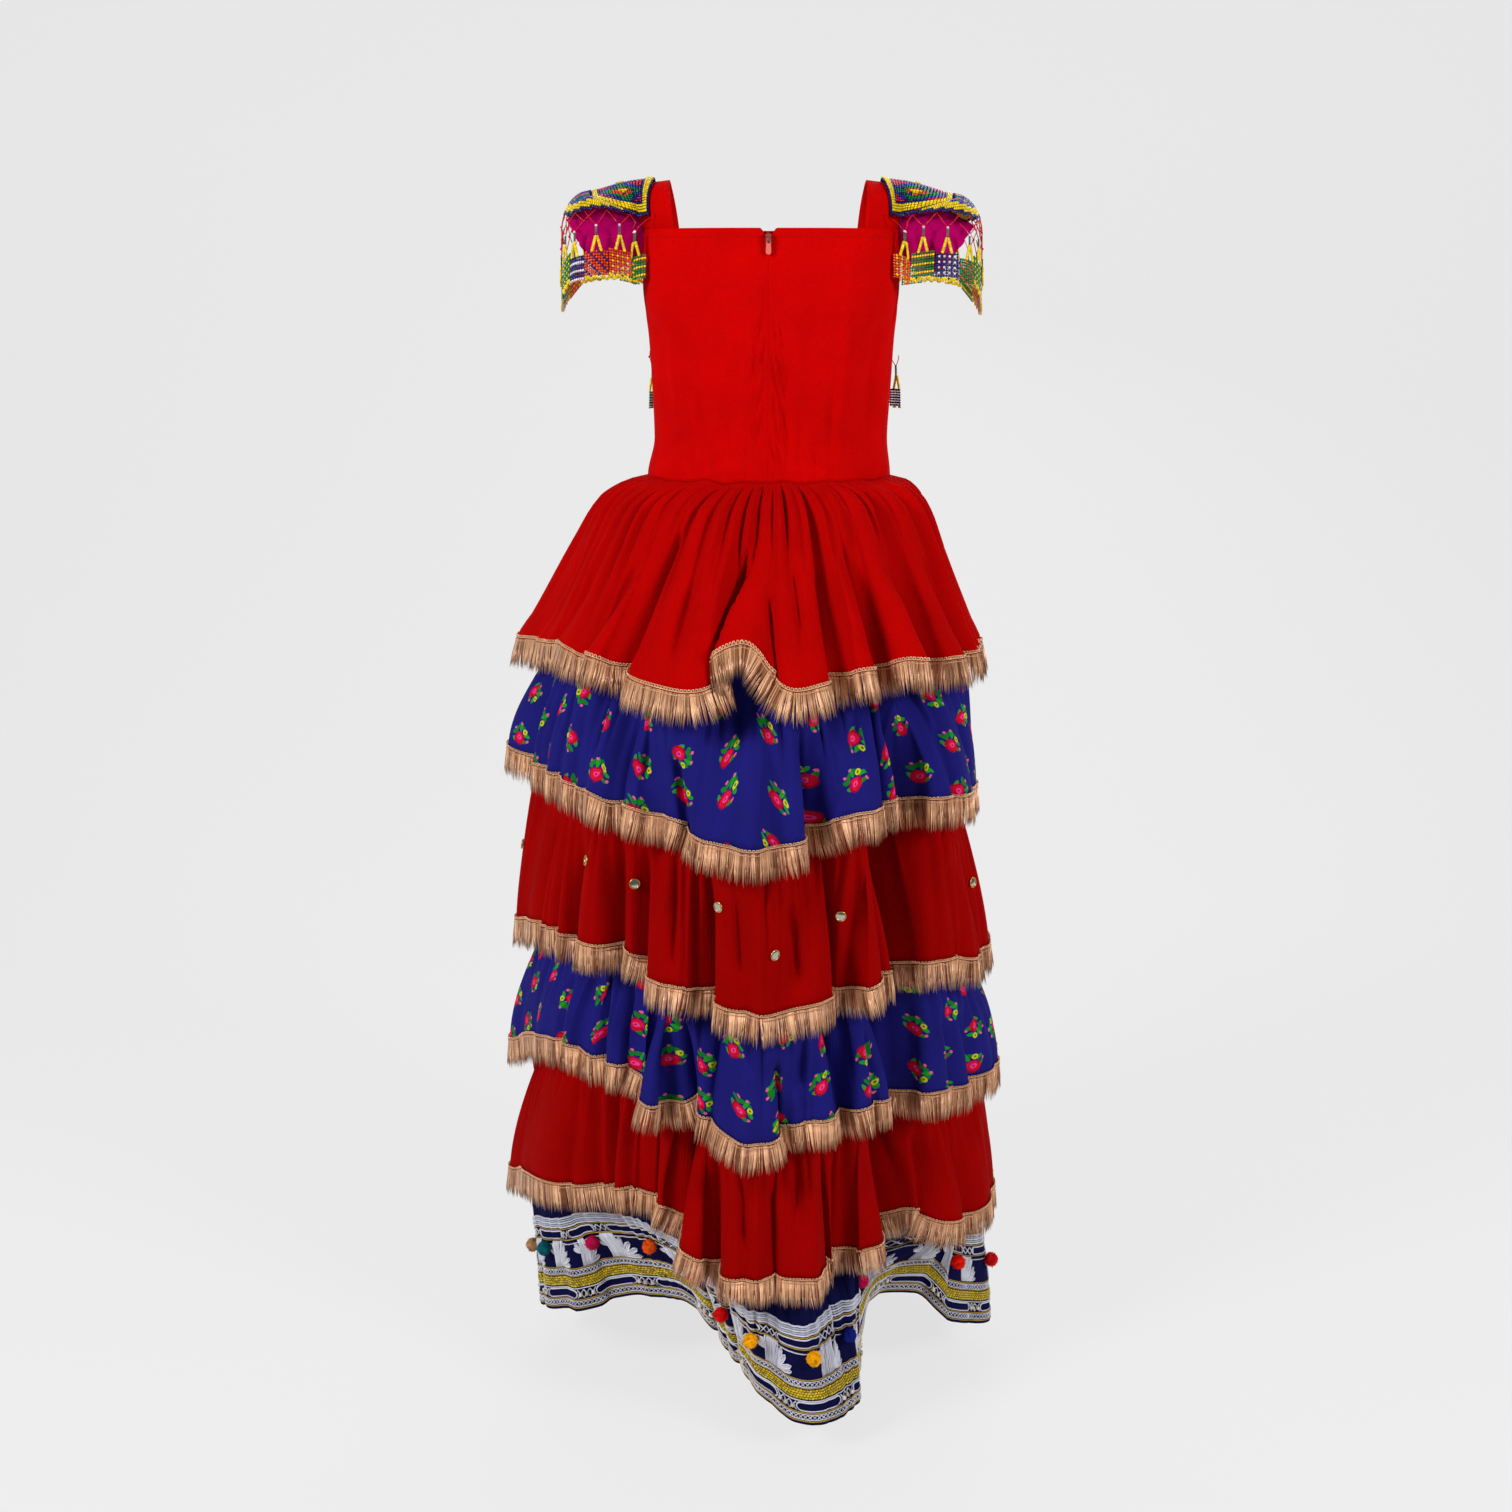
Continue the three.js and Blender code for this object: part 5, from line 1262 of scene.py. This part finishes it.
def lowerTier(tier, number, above):
    ring, lift = hemRing(tier, number)
    heights = above[..., 2].mean(axis=1)
    seamRow = int(np.argmin(np.abs(heights - heights[-1] - skirt["seamAboveHem"])))
    middleRow = (seamRow + len(above) - 1) // 2
    wall = skirt["cadWall"]
    # row of the tier above, its clearance and the columns it clears
    steps = [(seamRow, 0.4, 4), (middleRow, 3, 5), (-1, 6, 7)]
    hidden = np.stack([within(above[row], tier["centre"], wall + clear, wide) for row, clear,
        wide in steps])
    throat = within(above[-1], tier["centre"], wall + skirt["recess"], 7)
    throat[:, 2] = above[-1, :, 2] - skirt["fringe"] - 5
    shares = np.linspace(0, 1, 14)
    hemHeight = tier["hem"] + lift
    tall = np.mean(throat[:, 2] - hemHeight)
    power = math.log(0.12) / math.log(skirt["seamAboveHem"] / tall)
    visible = np.stack([mix(throat, ring, 1 - (1 - s) ** power) for s in shares])
    visible[..., 2] = throat[None, :, 2] + (hemHeight - throat[:, 2])[None] * shares[:, None]
    radial = radialOf(visible, tier["centre"])
    length = np.clip(0.5 + 0.3 * waves(skirtAngles, 60 + number, 4, 15), 0.14, 1.4)
    fade = np.exp(-(shares[:, None] / length[None]) ** 1.5)
    uneven = np.clip(0.8 + 0.35 * waves(skirtAngles, 80 + number, 9, 37), 0.2, 1.6)
    ridge = 3.6 * gathers(20 + number, 96)[None] * uneven[None] * fade
    grouped = np.clip(0.6 + 0.6 * waves(skirtAngles, 90 + number, 3, 9), 0, 1.4)
    pleats = 2.4 * gathers(120 + number, 37)[None] * grouped
    folds = skirt["lowerFolds"] * foldDepth(number, shares) * np.clip(0.4 + 1.6 * shares[:, None], 0, 1)
    visible += radial * (ridge + folds + pleats * np.clip(2 * shares[:, None], 0, 1))[..., None]
    return np.concatenate([hidden, visible])


# Metallic fringe

fringe = dict(pitch=0.9, behind=1.7, loopPitch=3.6)


def strandShape():
    # a three-sided strand that ends in a point
    turn = 2 * np.pi * np.arange(3) / 3 + 0.4
    rings = [np.stack([radius * np.cos(turn), np.full(3, float(y)), z + radius * np.sin(turn)], -1)
             for y, z, radius in ((0, 0, 0.56), (-20, 0.6, 0.56))]
    points = np.concatenate(rings + [[[0, -34.5, 0.1]]])
    sides = [(0, 1, 4, 3), (1, 2, 5, 4), (2, 0, 3, 5)]
    ends = [(3, 4, 6), (4, 5, 6), (5, 3, 6), (2, 1, 0)]
    return makePart(points, [c for face in sides + ends for c in face], [4] * 3 + [3] * 4)


def fringeOf(apron, number):
    total = apron["along"][-1]
    layers = [
        copiesOf(strandShape(), row(0, total, fringe["pitch"], y=0.8, out=1.6), sizes=(0.88, 1.06),
            tilt=0.05,
                 seed=3 + number),
        copiesOf(strandShape(), row(0, total, fringe["behind"], y=0.5, out=0.5), sizes=(0.82, 1.0),
            tilt=0.09,
                 seed=30 + number),
    ]
    # the back layer is painted darker, as painted shade behind the front strands
    layers[1]["tone"] *= 0.6
    draw = np.random.default_rng(number)
    for layer in layers:
        x, y, _ = layer["points"].T
        free = np.clip(-y / 34, 0, 1) ** 1.6
        # neighbouring strands bunch together towards their tips
        for low, high, size in ((8, 13, 0.8), (24, 40, 1.3)):
            for k in range(5):
                count = round(total / draw.uniform(low, high))
                swing = np.sin(2 * np.pi * count * x / total + draw.uniform(0, 6.3))
                layer["points"][:, 0] += size * 0.5 * free * swing
                layer["points"][:, 2] += 0.35 * size * free * np.cos(2 * np.pi * count * x / total + k)
        # streaks of painted light and shade across the strands, for the sheen bands of the fringe
        streak = sum(np.sin(2 * np.pi * round(total / wide) * x / total) for wide in (31, 13))
        layer["tone"] = np.clip(layer["tone"] + 0.18 * streak, 0, 1)
    turn = np.linspace(0, np.pi, 4)
    loop = flatCord(-1.5 * np.cos(turn), 2.8 * np.sin(turn), 0.0, 0.6, 3)
    loops = copiesOf(loop, row(0, total, fringe["loopPitch"], y=2.4, out=2.2), tilt=0.1, seed=60 + number)
    # the header loops are painted nearer the lit colour, as painted light on top of the fringe
    loops["tone"] = 0.7 + 0.3 * loops["tone"]
    # the upper cord is painted fully lit and the lower one half shaded, as painted light and shade
    cords = [ringCord(apron, y, out, radius, tone) for y, out, radius, tone in
             ((2.2, 1.6, 0.8, 1.0), (-1.4, 2.0, 0.8, 0.5))]
    return joinedPart([onto(apron, part) for part in layers + [loops]] + cords)


def ringCord(surface, y, out, radius, tone, paint=(1, 1, 1, 1)):
    # a cord laid all round a closed surface
    count, sides = 420, 3
    x = np.arange(count) * surface["along"][-1] / count
    flat = np.stack([x, np.zeros(count) + y, np.zeros(count) + out], -1)
    line = onSurface(surface, flat)
    above = onSurface(surface, flat + [0, 1.0, 0])
    up = above - line
    up /= np.maximum(np.linalg.norm(up, axis=1, keepdims=True), 1e-9)
    ahead = np.roll(line, -1, axis=0) - np.roll(line, 1, axis=0)
    normal = np.cross(ahead, up)
    normal /= np.maximum(np.linalg.norm(normal, axis=1, keepdims=True), 1e-9)
    turn = 2 * np.pi * np.arange(sides) / sides + np.pi / 2
    rings = line[:, None] + radius * (up[:, None] * np.cos(turn)[None, :, None]
                                      + normal[:, None] * np.sin(turn)[None, :, None])
    k = np.arange(count)[:, None]
    c = np.arange(sides)[None, :]
    following, n = (k + 1) % count, (c + 1) % sides
    faces = np.stack([k * sides + c, k * sides + n, following * sides + n, following * sides + c], -1)
    return makePart(rings.reshape(-1, 3), faces.ravel(), np.full(count * sides, 4), tone, paint)


# Embroidered band of the hem tier. Heights are above the hem.

band = dict(
    top=150,
    # lines sewn all round: height, radius, colour
    lines=[(4.6, 0.9, "gold"), (6.8, 0.7, "white"), (13.8, 0.7, "white"), (15.8, 0.9, "gold"),
        (31.6, 0.9, "white"),
           (48.6, 0.7, "gold"), (50.2, 0.7, "white"), (57.4, 0.7, "white"), (59.4, 0.9, "gold"),
           (99.8, 0.9, "gold"),
           (115.2, 0.9, "gold"), (118.2, 1.7, "white"), (121.2, 1.7, "pale"), (124.2, 1.7, "white"),
           (127.2, 1.7, "pale"), (130.2, 1.7, "white")],
    crossRows=[(10.3, 5.6, 3.0, 0.7), (53.8, 5.4, 3.1, 0.7)],
    bars=[(18.6, 29.6, True), (102.4, 112.6, False)],
    barPeriod=84,
    clusterWide=26,
    yellow=(34, 47),
    motif=(61.5, 98.5),
    motifPeriod=56,
    window=23,
)
threads = dict(
    white=colour("#D8D8E4"), pale=colour("#B4B6C8"), gold=colour("#B08E38"), yellow=colour("#D2B400"),
    crystal=colour("#D8CCC0"),
)


def crossShape(half, tall, radius):
    t = np.linspace(-1, 1, 3)
    bars = [flatCord(half * t, way * tall * t, 0.5, radius, 3) for way in (-1, 1)]
    return joinedPart(bars)


def teardrop(x, y, angle, length, wide):
    # the outline of a curled leaf that starts at x, y
    t = np.linspace(0.02, 0.98, 9) * 2 * np.pi
    along = length * (1 - np.cos(t)) / 2
    side = wide / 2 * np.sin(t) * np.sin(t / 2)
    c, s = math.cos(angle), math.sin(angle)
    edge = flatCord(x + along * c - side * s, y + along * s + side * c, 0.9, 1.15, 3)
    t = np.linspace(0.15, 0.85, 4) * length
    return joinedPart([edge, flatCord(x + t * c, y + t * s, 0.7, 1.2, 3)])


def motifParts(start, end, draw):
    # a block of upright cords with a fan of curled leaves on both sides
    low, high = band["motif"]
    parts = []
    wide = end - start
    blockWide = min(22.0, 0.5 * wide)
    blockStart = start + 0.06 * wide
    for x in row(blockStart, blockStart + blockWide, 2.2)[:, 0]:
        wave = draw.uniform(-0.4, 0.4, 6)
        cord = flatCord(x + wave, np.linspace(low, high, 6), 0.9, 1.25, 3)
        cord["tone"][:] = draw.uniform(0.2, 1)
        parts.append(cord)
    root = blockStart + blockWide
    for angle, length, wideLeaf in ((8, 20, 6.5), (33, 23, 6.5), (56, 26, 6.5), (78, 31, 6.5)):
        angle = math.radians(angle + draw.uniform(-5, 5))
        reach = min(length, (end + 8 - root) / max(math.cos(angle), 0.2))
        leaf = teardrop(root - 2, low + 1.5, angle, reach, wideLeaf)
        leaf["tone"][:] = draw.uniform(0.3, 1)
        parts.append(leaf)
    for angle, length in ((112, 16), (145, 13)):
        leaf = teardrop(blockStart + 1, low + 18, math.radians(angle + draw.uniform(-6, 6)), length, 5.5)
        leaf["tone"][:] = draw.uniform(0.3, 1)
        parts.append(leaf)
    return parts


def hemWork(apron, pompomPlaces):
    total = apron["along"][-1]
    draw = np.random.default_rng(15)
    white = []
    for y, half, tall, radius in band["crossRows"]:
        white.append(copiesOf(crossShape(half / 2, tall, radius), row(0, total, half, y=y), seed=5))
    periods = round(total / band["barPeriod"])
    period = total / periods
    crystals = []
    for low, high, jewelled in band["bars"]:
        tall = (high - low) / 2
        turn = np.linspace(np.pi / 2, 3 * np.pi / 2, 7)
        for k in range(periods):
            first = k * period + band["clusterWide"] + tall + (20 if jewelled else 0)
            last = (k + 1) * period - tall + (20 if jewelled else 0)
            x = np.concatenate([first + tall * np.cos(turn), np.linspace(first, last, 16)[1:],
                                last - tall * np.cos(turn), np.linspace(last, first, 16)[1:]])
            y = low + tall + np.concatenate([tall * np.sin(turn), np.full(15, -tall),
                                             -tall * np.sin(turn), np.full(15, tall)])
            white.append(flatCord(x, y, 0.7, 1.0, 3))
            middle = k * period + band["clusterWide"] / 2 + (20 if jewelled else 0)
            for step in (-1, 0, 1):
                cross = crossShape(4.2, tall, 0.9)
                cross["points"] = cross["points"] + [middle + 8.4 * step, low + tall, 0]
                white.append(cross)
                if jewelled:
                    crystals.append((middle + 8.4 * step, low + tall * 0.9, 0.8))
    windows = sorted(pompomPlaces % total)
    half = band["window"] / 2
    for k, place in enumerate(windows):
        after = windows[(k + 1) % len(windows)] + (total if k == len(windows) - 1 else 0)
        count = max(1, round((after - place) / band["motifPeriod"]))
        step = (after - place) / count
        for i in range(count):
            white += motifParts(place + i * step + half, place + (i + 1) * step - half, draw)
    for part in white:
        part["paint"][:] = threads["white"]
    lines = [ringCord(apron, y, 0.6, radius, 0.7, threads[kind]) for y, radius, kind in band["lines"]]
    turn = 2 * np.pi * np.arange(5) / 5
    disc = loft([np.stack([r * np.cos(turn), r * np.sin(turn), z + 0.25 * np.sin(turn) * r], -1)
                 for r, z in ((2.2, 0.5), (1.0, 1.1))])
    low, high = band["yellow"]
    places = np.concatenate([row(0, total, 3.7, y=y) + [1.8 * (i % 2), 0, 0.2]
                             for i, y in enumerate(row(low, high, 2.9)[:, 0])])
    sequins = copiesOf(disc, places, paints=threads["yellow"], tilt=0.9, seed=6)
    stones = copiesOf(beadShape(3.1), np.array(crystals), paints=threads["crystal"], seed=7)
    sewn = joinedPart([onto(apron, part) for part in white] + lines)
    return sewn, joinedPart([onto(apron, sequins), onto(apron, stones)])


# Pompoms

pompom = dict(
    radius=9.4, height=93, clear=9.4, fibres=210,
    # place round the hem tier by the skirt's steps of 6 degrees from the left side, and wool
    wool=[(1, "#A88058"), (3, "#0E5A64"), (5, "#C01448"), (8, "#F05A14"), (11, "#D80A0A"), (14, "#E01010"),
          (16, "#F5A60A"), (19, "#F5A60A"), (22, "#16207A"), (25, "#C0104A"), (29, "#E81808"),
          (31, "#D01018"),
          (34, "#F5A60A"), (37, "#16207A"), (40, "#C0104A"), (42, "#F05A14"), (45, "#D80A0A"),
          (48, "#0E5A64"),
          (50, "#E01010"), (52, "#F5A60A")],
)


def pompomAngles():
    # the skirt's steps: every 6 degrees round the back, 21 steps round the front
    steps = np.array([place for place, _ in pompom["wool"]], float)
    return np.where(steps <= 33, -99 + 6 * steps, 99 + 162 * (steps - 33) / 21)


def ballOf(centre, paint, seed):
    # a round ball of cut wool: an uneven core under short fibres that stand out all over
    draw = np.random.default_rng(seed)
    mesh = bpy.data.meshes.new("core")
    made = bmesh.new()
    bmesh.ops.create_icosphere(made, subdivisions=3, radius=1)
    made.to_mesh(mesh)
    made.free()
    points = np.array([v.co[:] for v in mesh.vertices])
    corners = np.array([v for face in mesh.polygons for v in face.vertices])
    bpy.data.meshes.remove(mesh)
    bumps = sum(np.sin(points @ draw.normal(0, 7, 3) + draw.uniform(0, 6)) for _ in range(5))
    # the core's tone follows its bumps, darker where it dips in: painted shade in its hollows and painted
    # light on its bulges
    core = makePart(centre + points * (pompom["radius"] - 1.1 + 0.28 * bumps)[:, None], corners,
                    np.full(len(corners) // 3, 3), 0.5 + 0.1 * bumps, paint)
    ways = draw.normal(size=(pompom["fibres"], 3))
    ways /= np.linalg.norm(ways, axis=1, keepdims=True)
    side = np.cross(ways, draw.normal(size=ways.shape))
    side /= np.linalg.norm(side, axis=1, keepdims=True)
    other = np.cross(ways, side)
    reach = pompom["radius"] + draw.uniform(-0.4, 0.9, (len(ways), 1))
    bend = 0.5 * draw.normal(size=ways.shape)
    foot = centre + ways * (pompom["radius"] - 2)
    corner = [foot + 0.55 * (side * math.cos(a) + other * math.sin(a)) for a in (0, 2.1, 4.2)]
    tips = centre + ways * reach + bend
    spikes = np.stack(corner + [tips], 1).reshape(-1, 3)
    start = 4 * np.arange(len(ways))[:, None]
    faces = (start[:, None] + np.array([[0, 1, 3], [1, 2, 3], [2, 0, 3], [0, 2, 1]])[None]).reshape(-1, 3)
    tone = np.repeat(draw.uniform(0, 1, len(ways)), 4)
    return joinedPart([core, makePart(spikes, faces.ravel(), np.full(len(faces), 3), tone, paint)])


def makeHemTier(apron):
    angles = pompomAngles()
    column = (angles + 180) % 360 / 360 * skirt["columns"]
    places = np.interp(column, np.arange(len(apron["along"])), apron["along"])
    sewn, shiny = hemWork(apron, places)
    sewnPiece = pieceOf("hem_tier_embroidery", sewn, materials["stitched"], None)
    shinyPiece = pieceOf("hem_tier_sequins", shiny, materials["sequins"], None)
    centres = onSurface(apron, np.stack([
        places, np.full(len(places), pompom["height"]), np.full(len(places), pompom["clear"])], -1))
    balls = [ballOf(centre, colour(wool), k) for k,
        (centre, (_, wool)) in enumerate(zip(centres, pompom["wool"]))]
    tape = ringCord(apron, pompom["height"] + 1, 0.6, 0.9, 0.5, threads["white"])
    pieceOf("pompom_trim_balls", joinedPart(balls + [tape]), materials["wool"], "pompom_trim")
    return [sewnPiece, shinyPiece]


def makeMirrors(grid):
    # each mirror of the frame moved onto the finer cloth of the third tier, with its gilt rim
    names = [f"mirror_{k:02d}" for k in range(1, 15)]
    normal = normalsOf(grid, True).reshape(-1, 3)
    points = grid.reshape(-1, 3)
    turn = 2 * np.pi * np.arange(20) / 20
    round_ = np.stack([np.cos(turn), np.sin(turn)], -1)
    glassRings = [np.concatenate([round_ * r, np.full((20, 1), z)], 1) for r,
        z in ((4.9, 0.2), (4.9, 1.0), (4.5, 1.15))]
    rimRings = [np.concatenate([round_ * r, np.full((20, 1), z)], 1)
                for r, z in ((4.7, 0.1), (6.1, 0.1), (6.2, 0.9), (5.5, 1.7), (4.7, 1.3), (4.6, 0.2))]
    discs, rims = [], []
    for name in names:
        low, high = (np.array(corner) * 1000 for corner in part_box(name))
        spot = (low + high) / 2
        near = int(np.argmin(np.linalg.norm(points - spot, axis=1)))
        out = normal[near]
        side = np.cross([0, 0, 1.0], out)
        side /= np.linalg.norm(side)
        up = np.cross(out, side)
        axes = np.stack([side, up, out])
        for rings, kept in ((glassRings, discs), (rimRings, rims)):
            part = loft(rings, capped=rings is glassRings)
            kept.append(dict(part, points=points[near] + 0.4 * out + part["points"] @ axes))
    glassPiece = pieceOf("mirror_discs", joinedPart(discs), materials["mirror"], None)
    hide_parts(*names)
    pieceOf("mirror_rims", joinedPart(rims), materials["rim"], None)


def makeSkirt():
    grids = []
    looks = ["tierRed", "floral", "tierDark", "floral", "tierDark", "hem"]
    for number, tier in enumerate(tiers):
        grid = lowerTier(tier, number, grids[-1]) if number else firstTier(tier)
        grids.append(grid)
        if number == 0:
            grid, grids[0] = lappedFlap(grid, tier)
        piece = clothPiece(tier["name"], grid, True, materials[looks[number]], skirt["wall"])
        if tier["name"] == "hem_tier":
            trims = makeHemTier(apronOf(grid, band["top"]))
        else:
            apron = apronOf(grid, 12, below=44)
            name = f"fringe_{number + 1}"
            strands = fringeOf(apron, number)
            trims = [pieceOf(f"{name}_strands", strands, materials["gold"], name)]
    makeMirrors(grids[2])


def dressFrame():
    # the frame's own zip pieces keep their form and take finer materials
    for name, look in (("zip_tape", "tape"), ("zip_slider", "slider"), ("zip_pull", "enamel")):
        node = bpy.data.objects[name]
        node.data.materials.clear()
        node.data.materials.append(materials[look])


def makeCamera():
    data = bpy.data.cameras.new("camera")
    focalPixels, photoPixels = 1700, 1512
    data.sensor_width = 36
    data.lens = data.sensor_width * focalPixels / photoPixels
    camera = bpy.data.objects.new("camera", data)
    camera.location = (-0.0126, -1.88, -0.122)
    camera.rotation_euler = (math.radians(75), 0, 0)
    linked.link(camera)
    bpy.context.scene.camera = camera


def paleMaterial(name, hexCode, glow):
    # matt paint that also gives back some light of its own, so that it photographs pale
    material, _, shader = newMaterial(name)
    shader.inputs["Base Color"].default_value = colour(hexCode)
    shader.inputs["Roughness"].default_value = 0.9
    shader.inputs["Specular IOR Level"].default_value = 0.0
    shader.inputs["Emission Color"].default_value = colour("#ECECEC")
    shader.inputs["Emission Strength"].default_value = glow
    return material


def makeStage():
    # one sheet of pale paper from the floor up behind the dress in a wide curve
    turn = np.linspace(0, np.pi / 2, 17)
    profile = [(-1.5, -1.43), (1.6, -1.43)] + [
        (1.6 + 1.8 * math.sin(t), -1.43 + 1.8 * (1 - math.cos(t))) for t in turn[1:]] + [(3.4, 4.0)]
    points = [(x, y, z) for y, z in profile for x in (-4.5, 4.5)]
    faces = [(2 * k, 2 * k + 1, 2 * k + 3, 2 * k + 2) for k in range(len(profile) - 1)]
    mesh = bpy.data.meshes.new("backdrop")
    mesh.from_pydata(points, [], faces)
    mesh.polygons.foreach_set("use_smooth", np.ones(len(faces), bool))
    mesh.materials.append(paleMaterial("paleBackdropPaper", "#606060", 0.87))
    backdrop = bpy.data.objects.new("backdrop", mesh)
    linked.link(backdrop)
    world = bpy.data.worlds.new("world")
    bpy.context.scene.world = world
    world.use_nodes = True
    world.node_tree.nodes["Background"].inputs["Color"].default_value = colour("#ECECEC")
    world.node_tree.nodes["Background"].inputs["Strength"].default_value = 0.2
    # place, side and power of the soft lights
    lights = [
        ("keyLight", (-2.1, -1.7, 0.9), 0.8, 72),
        ("fillLight", (2.1, -1.7, 0.7), 0.8, 56),
        ("frontLight", (0.6, 2.6, 1.0), 1.8, 25),
    ]
    for name, place, side, power in lights:
        data = bpy.data.lights.new(name, "AREA")
        data.size = side
        data.energy = power
        light = bpy.data.objects.new(name, data)
        light.location = place
        aim = mathutils.Vector((0, 0, -0.7)) - mathutils.Vector(place)
        light.rotation_euler = aim.to_track_quat("-Z", "Y").to_euler()
        linked.link(light)
    bpy.context.scene.view_settings.view_transform = "Standard"


makeCamera()
makeStage()
makeBodice()
makeZip()
makeChest()
print("bodice made")
for side in shoulder["sides"]:
    makeShoulder(**side)
print("shoulders made")
makeSkirt()
print("skirt made")
dressFrame()
